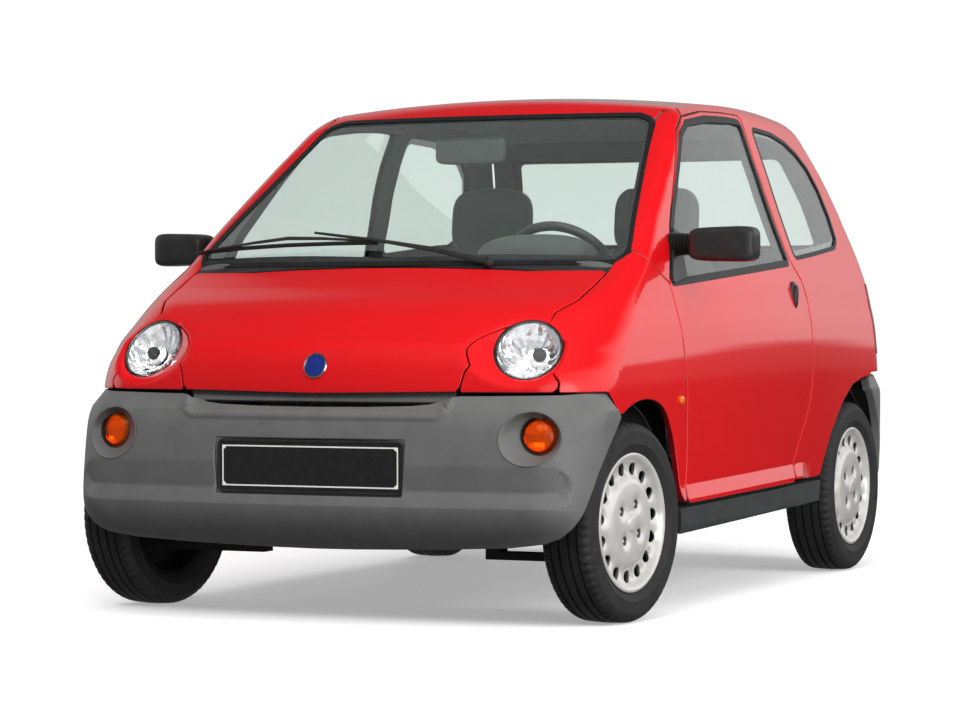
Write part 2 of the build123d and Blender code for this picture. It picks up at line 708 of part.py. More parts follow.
# ---- chassis -------------------------------------------------------------------------------
def floor_pan():
    """Cabin floor, footwell walls, bulkhead and load floor as one welded sheet."""
    low, high = FLOOR_Z, FLOOR_Z + FLOOR_THICK
    wall_x = FRONT_WELL_X - SEAT_GAP - SHEET / 2
    wall_top = DASH_LOW_Z - SEAT_GAP
    side_x = FLOOR_HALF_WIDTH - 8
    well_wall = block((wall_x, FRONT_WELL_Y, low), (side_x, FRONT_WELL_Y + SHEET, wall_top))
    cheek = block(
        (wall_x - SHEET / 2, FLOOR_FRONT_Y, low), (wall_x + SHEET / 2, FRONT_WELL_Y + SHEET, wall_top)
    )
    floor = joined(
        block((-FLOOR_HALF_WIDTH, FRONT_WELL_Y, low), (FLOOR_HALF_WIDTH, FLOOR_REAR_Y, high)),
        block((-wall_x, FLOOR_FRONT_Y, low), (wall_x, FRONT_WELL_Y, high)),
        block((-wall_x, FLOOR_FRONT_Y, low), (wall_x, FLOOR_FRONT_Y + SHEET, BULKHEAD_TOP_Z)),
        well_wall,
        flipped(well_wall),
        cheek,
        flipped(cheek),
        block(
            (-FLOOR_HALF_WIDTH, FLOOR_REAR_Y - SHEET, low),
            (FLOOR_HALF_WIDTH, FLOOR_REAR_Y, LOAD_FLOOR_Z + SHEET),
        ),
        block(
            (-REAR_WELL_X, FLOOR_REAR_Y - SHEET, LOAD_FLOOR_Z),
            (REAR_WELL_X, LOAD_FLOOR_REAR_Y, LOAD_FLOOR_Z + SHEET),
        ),
    )
    save(common(floor, inner_space), "floor_pan")


def liner(axle_y, x_low):
    """The inner wing over one wheel, a half ring closed on the cabin side."""
    x_high = WHEEL_X + TYRE_WIDTH / 2
    middle, length = ((x_low + x_high) / 2, axle_y, TYRE_RADIUS), x_high - x_low
    radius = ARCH_RADIUS + LINER_GAP
    ring = cut(
        disc(middle, radius + LINER_THICK, length),
        disc(middle, radius, length),
        block((0, -FAR, 0), (FAR, FAR, TYRE_RADIUS)),
    )
    return common(ring, inner_space)


def chassis():
    floor_pan()
    sill_zone = block((500, FRONT_AXLE_Y, SILL_LOW_Z), (900, REAR_AXLE_Y, SILL_TOP_Z))
    sill = cut(common(thick_shell, sill_zone), front_arch, rear_arch)
    save(joined(sill, flipped(sill)), "sills")

    left = [liner(FRONT_AXLE_Y, FRONT_WELL_X), liner(REAR_AXLE_Y, REAR_WELL_X)]
    save(joined(*left, *[flipped(one) for one in left]), "arch_liners")

    save(block(*ENGINE), "engine")
    rail = block(
        (RAIL_X - RAIL_WIDTH / 2, RAIL_FRONT_Y, RAIL_LOW_Z),
        (RAIL_X + RAIL_WIDTH / 2, FLOOR_FRONT_Y - SEAT_GAP, RAIL_HIGH_Z),
    )
    cross = [
        block((-RAIL_X, y, RAIL_LOW_Z), (RAIL_X, y + CROSS_MEMBER_WIDTH, ENGINE[0][2] - SEAT_GAP))
        for y in CROSS_MEMBER_Y
    ]
    save(joined(rail, flipped(rail), *cross), "front_subframe")


# ---- running gear --------------------------------------------------------------------------
def wheel_place(x, y, turned):
    """The place of a wheel's middle: its own x axis points outwards along the stub axle."""
    side = 1 if x > 0 else -1
    if turned:
        reach = abs(x) - KINGPIN_X
        angle = radians(STEERED_DEG)
        x = side * (KINGPIN_X + reach * cos(angle))
        y = y + side * reach * sin(angle)
        return Location((x, y, TYRE_RADIUS), (0, 0, STEERED_DEG + (0 if side > 0 else 180)))
    return Location((x, y, TYRE_RADIUS), (0, 0, 0 if side > 0 else 180))


def placed(piece, place):
    with BuildPart() as other:
        with Locations(place):
            add(piece)
    return other.part


def tyre():
    half, bead, tread = TYRE_WIDTH / 2, BEAD_WIDTH / 2, TREAD_WIDTH / 2
    out, up = SHOULDER
    with BuildPart() as ring:
        with BuildSketch(Plane.XY):
            with BuildLine():
                Line((-bead, RIM_RADIUS), (bead, RIM_RADIUS))
                ThreePointArc((bead, RIM_RADIUS), (half, SIDEWALL_BULGE_RADIUS), (out, up))
                Polyline((out, up), (tread, TYRE_RADIUS), (-tread, TYRE_RADIUS), (-out, up))
                ThreePointArc((-out, up), (-half, SIDEWALL_BULGE_RADIUS), (-bead, RIM_RADIUS))
            make_face()
        revolve(axis=Axis.X)
    return ring.part


def rim():
    """Rim, disc and cover as one turned piece with a hub that runs on the stub axle."""
    r = RIM_RADIUS - SEAT_GAP
    bore = STUB_RADIUS + RUNNING_GAP
    with BuildPart() as wheel:
        with BuildSketch(Plane.XY):
            with BuildLine():
                Polyline(
                    (HUB_INNER, bore), (HUB_OUTER, bore), (HUB_OUTER, 8), (HUB_CAP_X, 8),
                    (HUB_CAP_X + 2, 60), (54, 100), (62, 150), (64, r), (-62, r), (-62, r - 8),
                    (46, r - 8), (46, 130), (36, 60), (HUB_INNER, 50), close=True,
                )  # fmt: skip
            make_face()
        revolve(axis=Axis.X)
        with BuildSketch(Plane.YZ.offset(HUB_OUTER - 16)):
            with PolarLocations(COVER_HOLE_CIRCLE, COVER_HOLES):
                Circle(COVER_HOLE_RADIUS)
        extrude(amount=40, mode=Mode.SUBTRACT)
    return wheel.part


def knuckle():
    """Left: the kingpin with the stub axle that carries a front wheel."""
    reach = WHEEL_X - KINGPIN_X + HUB_OUTER - STUB_END
    pin_middle = (KINGPIN_LOW_Z + KINGPIN_HIGH_Z) / 2 - TYRE_RADIUS
    return joined(
        disc((0, 0, pin_middle), KINGPIN_RADIUS, KINGPIN_HIGH_Z - KINGPIN_LOW_Z, "z"),
        disc((reach / 2, 0, 0), STUB_RADIUS, reach),
        disc((0, 0, 0), KINGPIN_BOSS_RADIUS, KINGPIN_BOSS_HEIGHT, "z"),
    )


def wheels():
    tyre_form, rim_form, knuckle_form = tyre(), rim(), knuckle()
    corners = (
        ("front_left", WHEEL_X, FRONT_AXLE_Y, True),
        ("front_right", -WHEEL_X, FRONT_AXLE_Y, True),
        ("rear_left", WHEEL_X, REAR_AXLE_Y, False),
        ("rear_right", -WHEEL_X, REAR_AXLE_Y, False),
    )
    for name, x, y, turned in corners:
        place = wheel_place(x, y, turned)
        save(placed(tyre_form, place), f"tyre_{name}")
        save(placed(rim_form, place), f"wheel_{name}")
        if turned:
            side = 1 if x > 0 else -1
            turn = STEERED_DEG + (0 if side > 0 else 180)
            kingpin = Location((side * KINGPIN_X, y, TYRE_RADIUS), (0, 0, turn))
            save(placed(knuckle_form, kingpin), f"knuckle_{name[6:]}")


def suspension():
    inside = RAIL_X + RAIL_WIDTH / 2 + SEAT_GAP
    tip = KINGPIN_X + ARM_TIP
    low_y, high_y = FRONT_AXLE_Y - ARM_WIDTH / 2, FRONT_AXLE_Y + ARM_WIDTH / 2
    low_arm_top, high_arm_low = KINGPIN_LOW_Z - SEAT_GAP, KINGPIN_HIGH_Z + SEAT_GAP
    arms = joined(
        block((inside, low_y, low_arm_top - ARM_THICK), (tip, high_y, low_arm_top)),
        block((inside, low_y, low_arm_top - ARM_THICK), (inside + 2 * ARM_THICK, high_y, high_arm_low + 40)),
        block((inside, low_y, high_arm_low), (tip, high_y, high_arm_low + ARM_THICK)),
        disc((inside + STRUT_OUT, FRONT_AXLE_Y, STRUT_Z), STRUT_RADIUS, STRUT_LENGTH, "z"),
    )
    save(joined(arms, flipped(arms)), "front_suspension")

    arm = block(
        (TRAILING_ARM_X - ARM_WIDTH / 2, FLOOR_REAR_Y + SEAT_GAP, TRAILING_ARM_Z[0]),
        (TRAILING_ARM_X + ARM_WIDTH / 2, REAR_AXLE_Y, TRAILING_ARM_Z[1]),
    )
    middle = (0, REAR_AXLE_Y, TYRE_RADIUS)
    save(
        joined(
            disc(middle, REAR_TUBE_RADIUS, 2 * (WHEEL_X + HUB_INNER - REAR_TUBE_END)),
            disc(middle, STUB_RADIUS, 2 * (WHEEL_X + HUB_OUTER - STUB_END)),
            arm,
            flipped(arm),
        ),
        "rear_axle",
    )


def exhaust():
    _, y, z = MUFFLER
    hangers = [
        block(
            (x - HANGER_WIDTH / 2, y - HANGER_WIDTH / 2, z),
            (x + HANGER_WIDTH / 2, y + HANGER_WIDTH / 2, LOAD_FLOOR_Z - SEAT_GAP),
        )
        for x in HANGER_X
    ]
    muffler = disc(MUFFLER, MUFFLER_RADIUS, MUFFLER_LENGTH)
    save(joined(muffler, disc(PIPE, PIPE_RADIUS, PIPE_LENGTH, "y"), *hangers), "exhaust")


# ---- cabin fittings ------------------------------------------------------------------------
def dashboard():
    shelf = common(along_x(DASH, -DASH_HALF_WIDTH, DASH_HALF_WIDTH, 12), inner_space)
    dash = joined(shelf, along_x(DASH_HOOD, *HOOD_X, 12))
    save(dash, "dashboard")
    return dash


def steering(dash):
    tilt = radians(STEERING_TILT)
    towards_driver = (0, cos(tilt), sin(tilt))
    face = Plane(origin=STEERING_CENTRE, x_dir=(1, 0, 0), z_dir=towards_driver)
    hub_start, hub_length = STEERING_HUB
    spoke_width, spoke_thick = SPOKE
    with BuildPart() as wheel:
        with Locations(face.location):
            Torus(STEERING_RING, STEERING_GRIP)
        with BuildSketch(face.offset(hub_start)):
            Circle(STEERING_HUB_RADIUS)
        extrude(amount=hub_length)
        with BuildSketch(face.offset(-spoke_thick + 1)):
            with PolarLocations(0, 3, 90):
                with Locations((STEERING_RING / 2, 0)):
                    Rectangle(STEERING_RING - STEERING_GRIP + 3, spoke_width)
        extrude(amount=spoke_thick)
    save(wheel.part, "steering_wheel")
    with BuildPart() as column:
        with BuildSketch(face.offset(hub_start - SEAT_GAP)):
            Circle(COLUMN_RADIUS)
        extrude(amount=-COLUMN_LENGTH)
    visible = block((-FAR, -560, 0), (FAR, 0, FAR))
    save(cut(common(column.part, visible), dash), "steering_column")


def seat():
    """Left: cushion and back with a round headrest, on a pedestal."""
    plinth = block((PLINTH_X[0], -90, FLOOR_Z + FLOOR_THICK + SEAT_GAP), (PLINTH_X[1], 300, 320))
    return joined(
        along_x(SEAT_CUSHION, *SEAT_X, 20),
        plinth,
        along_x(SEAT_BACK, *SEAT_X, 14),
        along_x(HEADREST_POST, *HEADREST_POST_X, 5),
        along_x(HEADREST, *HEADREST_X, 14),
    )


def door_mirror():
    """Left: a rounded head on a ribbed arm that is fixed to the door's front corner."""
    low, high = DOOR_MIRROR
    with BuildPart() as head:
        with Locations(tuple((l + h) / 2 for l, h in zip(low, high))):
            Box(*[h - l for l, h in zip(low, high)])
        fillet(head.edges(), DOOR_MIRROR_EDGE)
    length = BELLOWS_X[1] - BELLOWS_X[0]
    middle = (BELLOWS_X[0] + length / 2, BELLOWS_Y, BELLOWS_Z)
    arm = cut(disc(middle, BELLOWS_RADIUS, length), outer)
    return joined(arm, head.part)


def fittings():
    steering(dashboard())
    both_sides(seat(), "seat")
    stalk = common(block(*INNER_MIRROR_STALK), glass_inner)
    save(joined(block(*INNER_MIRROR), stalk), "interior_mirror")
    both_sides(door_mirror(), "door_mirror")
    number_plates()


panels()
openings()
bumpers()
lamps()
chassis()
wheels()
suspension()
exhaust()
fittings()
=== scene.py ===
# %% [markdown]
# # A two-seat microcar
# The car is a small red two-seater with grey moulded bumpers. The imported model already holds
# every piece at its real size and place. This notebook dresses it: smooth painted panels with
# rounded shut lines, glass with black borders, lamps, wheels, tyres and the cabin.

# %% Load the frame
import math
import random

import bmesh
import bpy
import numpy as np
from mathutils import Matrix, Vector
from mathutils.geometry import delaunay_2d_cdt


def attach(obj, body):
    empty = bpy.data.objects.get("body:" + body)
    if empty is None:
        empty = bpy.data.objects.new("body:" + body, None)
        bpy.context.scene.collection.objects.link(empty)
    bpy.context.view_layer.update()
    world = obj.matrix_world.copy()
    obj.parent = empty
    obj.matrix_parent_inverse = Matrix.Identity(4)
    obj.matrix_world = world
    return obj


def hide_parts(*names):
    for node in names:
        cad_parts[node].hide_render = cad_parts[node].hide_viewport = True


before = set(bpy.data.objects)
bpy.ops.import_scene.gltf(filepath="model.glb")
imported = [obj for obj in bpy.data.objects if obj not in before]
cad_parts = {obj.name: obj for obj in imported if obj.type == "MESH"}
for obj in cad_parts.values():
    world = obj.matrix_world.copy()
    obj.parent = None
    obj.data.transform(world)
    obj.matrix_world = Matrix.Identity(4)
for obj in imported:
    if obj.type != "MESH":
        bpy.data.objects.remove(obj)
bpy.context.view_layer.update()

# %% [markdown]
# ## The body's form
# The real body is a stack of plan outlines, each made of tangent arcs: a flat front arc, a
# corner, a long side arc, a corner and a rear arc. Reading such an outline between the heights
# of a short table gives a form that is smooth everywhere. A distance function is used instead
# of a mesh, because any panel can then be laid on it as finely as its reflections need.

# %% Plan sections of the body, in millimetres
# columns: height, front y, half width, rear y, front radius, front corner, rear corner, side radius
SECTIONS = np.array(
    [
        (180, -1247, 737, 1300, 3000, 190, 110, 40000),
        (400, -1247, 739, 1300, 3000, 192, 110, 40000),
        (585, -1247, 740, 1300, 3000, 195, 110, 40000),
        (640, -1239, 738, 1301, 3000, 212, 110, 38000),
        (693, -1218, 734, 1302, 2900, 250, 105, 34000),
        (745, -1151, 728, 1302, 2800, 246, 100, 31000),
        (800, -1062, 717, 1300, 2700, 210, 95, 28000),
        (855, -935, 706, 1297, 2420, 120, 90, 26000),
        (905, -833, 693, 1286, 2250, 80, 85, 24000),
        (1041, -638, 653, 1228, 2250, 52, 75, 19000),
        (1177, -440, 614, 1139, 2250, 52, 65, 15000),
        (1313, -244, 567, 1011, 2250, 56, 60, 12500),
        (1450, -44, 515, 860, 2250, 60, 60, 12000),
    ],
    float,
)
REAR_ARC = 2600.0
SIDE_MIDDLE_Y = 50.0
ROOF_CROWN_Z, ROOF_MIDDLE_Y = 1406.0, 420.0
ROOF_CROSS, ROOF_LONG = 4300.0, 5200.0
ROOF_EDGE = 45.0


def monotone(table, heights):
    """Read every column of a table between its rows, without overshoot."""
    knots, values = table[:, 0], table[:, 1:]
    step = np.diff(knots)[:, None]
    slope = np.diff(values, axis=0) / step
    tangent = np.zeros_like(values)
    same = slope[:-1] * slope[1:] > 0
    w1, w2 = 2 * step[1:] + step[:-1], step[1:] + 2 * step[:-1]
    with np.errstate(divide="ignore", invalid="ignore"):
        mean = (w1 + w2) / (w1 / slope[:-1] + w2 / slope[1:])
    tangent[1:-1] = np.where(same, mean, 0)
    tangent[0], tangent[-1] = slope[0], slope[-1]
    heights = np.clip(heights, knots[0], knots[-1])
    i = np.clip(np.searchsorted(knots, heights) - 1, 0, len(knots) - 2)
    h = step[i, 0]
    t = ((heights - knots[i]) / h)[..., None]
    h = h[..., None]
    a = (1 + 2 * t) * (1 - t) ** 2 * values[i] + t * (1 - t) ** 2 * h * tangent[i]
    b = t * t * (3 - 2 * t) * values[i + 1] + t * t * (t - 1) * h * tangent[i + 1]
    return a + b


def circles_meet(ax, ay, ra, bx, by, rb, front):
    """Where two circles meet, nearer the front or nearer the rear."""
    dx, dy = bx - ax, by - ay
    d = np.hypot(dx, dy)
    along = (ra**2 - rb**2 + d**2) / (2 * d)
    across = np.sqrt(np.maximum(ra**2 - along**2, 0))
    mx, my = ax + along * dx / d, ay + along * dy / d
    one = (mx + across * dy / d, my - across * dx / d)
    two = (mx - across * dy / d, my + across * dx / d)
    pick = (one[1] < two[1]) == front
    return np.where(pick, one[0], two[0]), np.where(pick, one[1], two[1])


def plan_distance(x, y, z, table):
    """Distance outside the plan outline at each height: negative inside."""
    front_y, half, rear_y, front_r, corner_f, corner_r, side_r = np.moveaxis(monotone(table, z), -1, 0)
    x = np.abs(x)
    zero = np.zeros_like(x)
    side = np.hypot(x - half + side_r, y - SIDE_MIDDLE_Y) - side_r
    result = None
    ends = (
        (front_y + front_r, front_r, corner_f, True, -1),
        (rear_y - REAR_ARC, REAR_ARC + zero, corner_r, False, 1),
    )
    for centre_y, radius, corner, front, sign in ends:
        end = np.hypot(x, y - centre_y) - radius
        cx, cy = circles_meet(
            zero, centre_y, radius - corner, half - side_r, SIDE_MIDDLE_Y + zero, side_r - corner, front
        )
        turn_1 = -(cx * (y - cy) - (cy - centre_y) * (x - cx)) * sign
        turn_2 = ((cx - half + side_r) * (y - cy) - (cy - SIDE_MIDDLE_Y) * (x - cx)) * sign
        in_corner = (turn_1 > 0) & (turn_2 > 0)
        d = np.where(in_corner, np.hypot(x - cx, y - cy) - corner, np.maximum(end, side))
        result = d if result is None else np.where(y < (front_y + rear_y) / 2, result, d)
    return result


def body(p):
    """Signed distance of points from the painted body, millimetres."""
    x, y, z = p[..., 0], p[..., 1], p[..., 2]
    walls = plan_distance(x, y, z, SECTIONS)
    roof = z - ROOF_CROWN_Z + x**2 / (2 * ROOF_CROSS) + (y - ROOF_MIDDLE_Y) ** 2 / (2 * ROOF_LONG)
    u, v = walls + ROOF_EDGE, roof + ROOF_EDGE
    rounded = np.hypot(np.maximum(u, 0), np.maximum(v, 0)) - ROOF_EDGE
    return rounded + np.minimum(np.maximum(u, v), 0)

# %% [markdown]
# ## Laying a panel on the form
# A pressed panel is a smooth skin whose edges roll over before they turn inwards, and that roll
# is what catches the light along every shut line. A panel is therefore made from its outline:
# the middle is filled with an even triangle net, each point is cast onto the form, the edge is
# rolled over in a few steps, and the skin gets a back. Exact normals come from the form itself,
# so that reflections run across the panel without ripples.

# %% Outlines in two dimensions
MM = 0.001
OUTLINE_STEP, CORNER_STEP = 12.0, 6.0  # spacing of points along an outline and in its corners
TINY = 1e-9  # keeps a division away from nought


def resample(points, spacing):
    """Points at even spacing along a closed outline, keeping its own corners."""
    points = np.asarray(points, float)
    result = []
    for a, b in zip(points, np.roll(points, -1, 0)):
        count = max(1, int(np.hypot(*(b - a)) / spacing + 0.5))
        result += [a + (b - a) * i / count for i in range(count)]
    return np.array(result)


def rounded(points, radius):
    """A closed outline with its corners turned into arcs, sampled evenly."""
    points = np.asarray(points, float)
    radii = np.broadcast_to(radius, len(points))
    result = []
    for before, corner, after, r in zip(np.roll(points, 1, 0), points, np.roll(points, -1, 0), radii):
        u, v = before - corner, after - corner
        lu, lv = np.hypot(*u), np.hypot(*v)
        u, v = u / lu, v / lv
        half = math.acos(max(-1, min(1, float(u @ v)))) / 2
        reach = min(r / math.tan(half), 0.49 * lu, 0.49 * lv)
        r_here = reach * math.tan(half)
        bend = math.pi - 2 * half
        if bend < 0.02 or r_here < 0.5:
            result.append(corner)
            continue
        centre = corner + (u + v) / np.hypot(*(u + v)) * r_here / math.sin(half)
        a = corner + u * reach - centre
        sweep = bend if np.cross(u, v) < 0 else -bend
        count = max(2, int(r_here * bend / CORNER_STEP) + 1)
        for i in range(count + 1):
            t = sweep * i / count
            turned = (a[0] * math.cos(t) - a[1] * math.sin(t), a[0] * math.sin(t) + a[1] * math.cos(t))
            result.append(centre + turned)
    return resample(result, OUTLINE_STEP)


def area_of(loop):
    """The area inside a closed loop: positive when it runs anticlockwise."""
    x, y = loop[:, 0], loop[:, 1]
    return 0.5 * float(np.sum(x * np.roll(y, -1) - np.roll(x, -1) * y))


def moved_out(loop, amount):
    """Move a loop outwards (or inwards) by following its corners' bisectors."""
    loop = loop if area_of(loop) > 0 else loop[::-1]
    ahead = np.roll(loop, -1, 0) - loop
    ahead /= np.maximum(np.hypot(ahead[:, 0], ahead[:, 1]), TINY)[:, None]
    out = np.stack([ahead[:, 1], -ahead[:, 0]], 1)
    both = out + np.roll(out, 1, 0)
    both /= np.maximum(np.sum(both * both, 1), 0.5)[:, None]
    return loop + 2 * both * amount


def rolled_pair(loop, amount):
    """A loop and the same loop moved, without the places where the moved one would cross itself."""
    loop = loop if area_of(loop) > 0 else loop[::-1]
    moved = moved_out(loop, amount)
    keep = distance_to(loop, moved) > abs(amount) * 0.93 - 1e-6
    return loop[keep], moved[keep]


def is_inside(loop, points):
    """Even-odd test of many points against one closed loop."""
    x, y = points[:, 0][:, None], points[:, 1][:, None]
    ax, ay = loop[:, 0][None], loop[:, 1][None]
    bx, by = np.roll(loop[:, 0], -1)[None], np.roll(loop[:, 1], -1)[None]
    crosses = (ay > y) != (by > y)
    with np.errstate(divide="ignore", invalid="ignore"):
        at = (bx - ax) * (y - ay) / (by - ay) + ax
    return (np.sum(crosses & (x < at), 1) % 2) == 1


def distance_to(loop, points):
    """Distance of many points from a closed loop's line."""
    a, b = loop[None], np.roll(loop, -1, 0)[None]
    p = points[:, None]
    ab = b - a
    t = np.clip(np.sum((p - a) * ab, 2) / np.maximum(np.sum(ab * ab, 2), TINY), 0, 1)
    d = p - a - t[..., None] * ab
    return np.sqrt(np.min(np.sum(d * d, 2), 1))


# %% Looking at a form from outside
def flat_axes(out):
    """Two level-headed axes across a direction that points outwards."""
    out = np.asarray(out, float)
    out = out / np.linalg.norm(out)
    across = np.array([1.0, 0, 0]) if abs(out[2]) > 0.999 else np.cross([0, 0, 1], out)
    across = across / np.linalg.norm(across)
    return across, np.cross(out, across), out


def flat_of(points, view):
    """Flat coordinates of 3-D points, seen from outside."""
    points = np.asarray(points, float)
    if isinstance(view, str):
        centre, facing = AROUND[view]
        angle = np.arctan2(points[:, 0] * -facing, (points[:, 1] - centre) * facing)
        return np.stack([angle * WRAP, points[:, 2]], 1)
    across, up, _ = flat_axes(view)
    return np.stack([points @ across, points @ up], 1)


def cast(flat, view, form):
    """Drop flat points onto a form."""
    a, b = flat[:, 0], flat[:, 1]
    if isinstance(view, str):
        centre, facing = AROUND[view]
        angle = a / WRAP
        out = np.stack([-facing * np.sin(angle), facing * np.cos(angle), 0 * a], 1)
        p = np.array([0, centre, 0]) + out * WRAP_START + np.stack([0 * a, 0 * a, b], 1)
    else:
        across, up, out = flat_axes(view)
        p = a[:, None] * across + b[:, None] * up + out * FLAT_START
        out = np.broadcast_to(out, p.shape)
    for _ in range(CAST_STEPS):
        p = p - out * np.clip(form(p) * CAST_SHARE, -40, 200)[:, None]
    return p


FLAT_START, WRAP_START = 1900.0, 1100.0  # points start this far out, then walk inwards
CAST_STEPS, CAST_SHARE = 60, 0.8
WRAP = 700.0  # millimetres of flat width for each radian round a bumper
AROUND = {"nose": (-640.0, -1.0), "tail": (640.0, 1.0)}
LEFT, FRONT, REAR, ABOVE = (1, 0, 0), (0, -1, 0), (0, 1, 0), (0, 0, 1)
SIDES = (("left", 1), ("right", -1))
NORMAL_STEP = 0.6


def normal_at(p, form):
    """Unit normals of a form at points on it."""
    g = np.empty_like(p)
    for i in range(3):
        move = np.zeros(3)
        move[i] = NORMAL_STEP
        g[:, i] = form(p + move) - form(p - move)
    return g / np.maximum(np.linalg.norm(g, axis=1), TINY)[:, None]


def other_side(points):
    """The same points on the car's right side."""
    return np.asarray(points, float) * (-1, 1, 1)


def row(*points):
    """A short list of flat outline points."""
    return np.array(points, float)


def on_body(points, view):
    """3-D places on the body of outline points: y, z from the left, x, z from either end."""
    points = np.asarray(points, float)
    if view == REAR:
        points = points * (-1, 1)
    return cast(points, view, body)


# %% Making a mesh piece
def new_piece(name, vertices, faces, normals=None, marks=None):
    """Make a smooth mesh object from points in millimetres."""
    mesh = bpy.data.meshes.new(name)
    mesh.from_pydata((np.asarray(vertices) * MM).tolist(), [], faces)
    mesh.update()
    piece = bpy.data.objects.new(name, mesh)
    bpy.context.scene.collection.objects.link(piece)
    mesh.shade_smooth()
    if marks is not None:
        mesh.polygons.foreach_set("material_index", np.asarray(marks, np.int32))
    if normals is not None:
        mesh.normals_split_custom_set_from_vertices(np.asarray(normals).tolist())
    return piece


NEAR_EDGE = 0.45  # net points closer to an edge than this share of the grid are dropped
ROLL_TURNS = (30, 60, 90)  # degrees, the steps in which an edge rolls over


def panel(
    name, corners, view, form, radius=10.0, holes=(), depth=18.0, edge=2.6, grid=16.0, gap=1.7, creases=()
):
    """A closed panel on a form, with rolled edges: its skin is material 0, its back material 1.

    corners are 3-D, and each hole is its 3-D corners, their radius and its own gap. gap moves the
    edge in from the shut line's middle, and edge is the radius of its roll. creases are 3-D lines
    that the net follows, so that a form's crease stays crisp.
    """
    outline = rolled_pair(rounded(flat_of(corners, view), radius), -gap)[1]
    pairs = [rolled_pair(outline, -edge)]
    for cut, cut_radius, cut_gap in holes:
        cut = rolled_pair(rounded(flat_of(cut, view), cut_radius), cut_gap)[1]
        pairs.append([loop[::-1] for loop in rolled_pair(cut, edge)])
    trues, loops = [pair[0] for pair in pairs], [pair[1] for pair in pairs]
    low, high = loops[0].min(0), loops[0].max(0)
    rows = np.arange(low[1] + grid / 2, high[1], grid)
    columns = np.arange(low[0] + grid / 2, high[0], grid)
    net = np.stack(np.meshgrid(columns, rows), -1).reshape(-1, 2)
    keep = is_inside(loops[0], net)
    for loop in loops[1:]:
        keep &= ~is_inside(loop, net)
    net = net[keep]
    for loop in loops:
        net = net[distance_to(loop, net) > grid * NEAR_EDGE]
    edges, ridges = [], []
    start = sum(len(loop) for loop in loops)
    for crease in creases:
        line = flat_of(crease, view)
        count = max(2, int(np.sum(np.hypot(*np.diff(line, axis=0).T)) / grid))
        share = np.linspace(0, len(line) - 1, count)
        line = np.stack([np.interp(share, np.arange(len(line)), line[:, i]) for i in (0, 1)], 1)
        kept = is_inside(loops[0], line)
        for loop in loops[1:]:
            kept &= ~is_inside(loop, line)
        for loop in loops:
            kept &= distance_to(loop, line) > 1.5
        away = np.hypot(*(net[:, None] - line[None]).transpose(2, 0, 1)).min(1)
        net = net[away > grid * 0.5]
        number = start + np.cumsum(kept) - 1
        edges += [(number[i], number[i + 1]) for i in range(len(line) - 1) if kept[i] and kept[i + 1]]
        ridges.append(line[kept])
        start += int(kept.sum())
    flat = np.concatenate(loops + ridges + [net])
    start = 0
    for loop in loops:
        n = len(loop)
        edges += [(start + i, start + (i + 1) % n) for i in range(n)]
        start += n
    found = delaunay_2d_cdt([Vector(p) for p in flat], edges, [], 0, 1e-5)
    if len(found[0]) != len(flat):
        print(f"{name}: {len(flat) - len(found[0])} net points fell together")
    flat = np.array([tuple(v) for v in found[0]])
    triangles = np.array([tuple(f) for f in found[2]])
    middle = flat[triangles].mean(1)
    good = is_inside(loops[0], middle)
    for loop in loops[1:]:
        good &= ~is_inside(loop, middle)
    triangles = triangles[good]
    a, b, c = (flat[triangles[:, i]] for i in range(3))
    back_to_front = (b - a)[:, 0] * (c - a)[:, 1] - (b - a)[:, 1] * (c - a)[:, 0] < 0
    triangles[back_to_front] = triangles[back_to_front][:, ::-1]
    skin = cast(flat, view, form)
    up = normal_at(skin, form)
    count = len(skin)
    vertices, normals = [skin, skin - up * depth], [up, -up]
    faces, marks = [triangles, triangles[:, ::-1] + count], [0, 1]
    total, start = 2 * count, 0
    for loop, true in zip(loops, trues):
        n = len(loop)
        ring = np.arange(start, start + n)
        start += n
        outward = cast(true, view, form) - skin[ring]
        outward -= np.sum(outward * up[ring], 1)[:, None] * up[ring]
        outward /= np.maximum(np.linalg.norm(outward, axis=1), TINY)[:, None]
        steps = [ring]
        for turn in ROLL_TURNS:
            s, c = math.sin(math.radians(turn)), math.cos(math.radians(turn))
            vertices.append(skin[ring] + outward * edge * s - up[ring] * edge * (1 - c))
            normals.append(up[ring] * c + outward * s)
            steps.append(np.arange(total, total + n))
            total += n
        vertices.append(skin[ring] + outward * edge - up[ring] * depth)
        normals.append(outward)
        steps += [np.arange(total, total + n), ring + count]
        total += n
        for i, (r0, r1) in enumerate(zip(steps, steps[1:])):
            faces.append(np.stack([r0, r1, np.roll(r1, -1), np.roll(r0, -1)], 1))
            marks.append(int(i >= len(ROLL_TURNS)))
    every = [f for group in faces for f in group.tolist()]
    mark = [m for group, m in zip(faces, marks) for _ in range(len(group))]
    piece = new_piece(name, np.concatenate(vertices), every, np.concatenate(normals), mark)
    print(f"{name}: {len(triangles)} triangles in its skin")
    return piece

# %% [markdown]
# ## Finishes
# A finish is a node tree: noise at the grain's real size drives a little colour, roughness and
# bump, because no real surface is even. A value that is the same all over sits on the shader's
# own socket. Object coordinates are used, so a grain keeps its size on every piece.

# %% One recipe for procedural finishes
RELIEF_HEIGHT = 0.0004  # metres


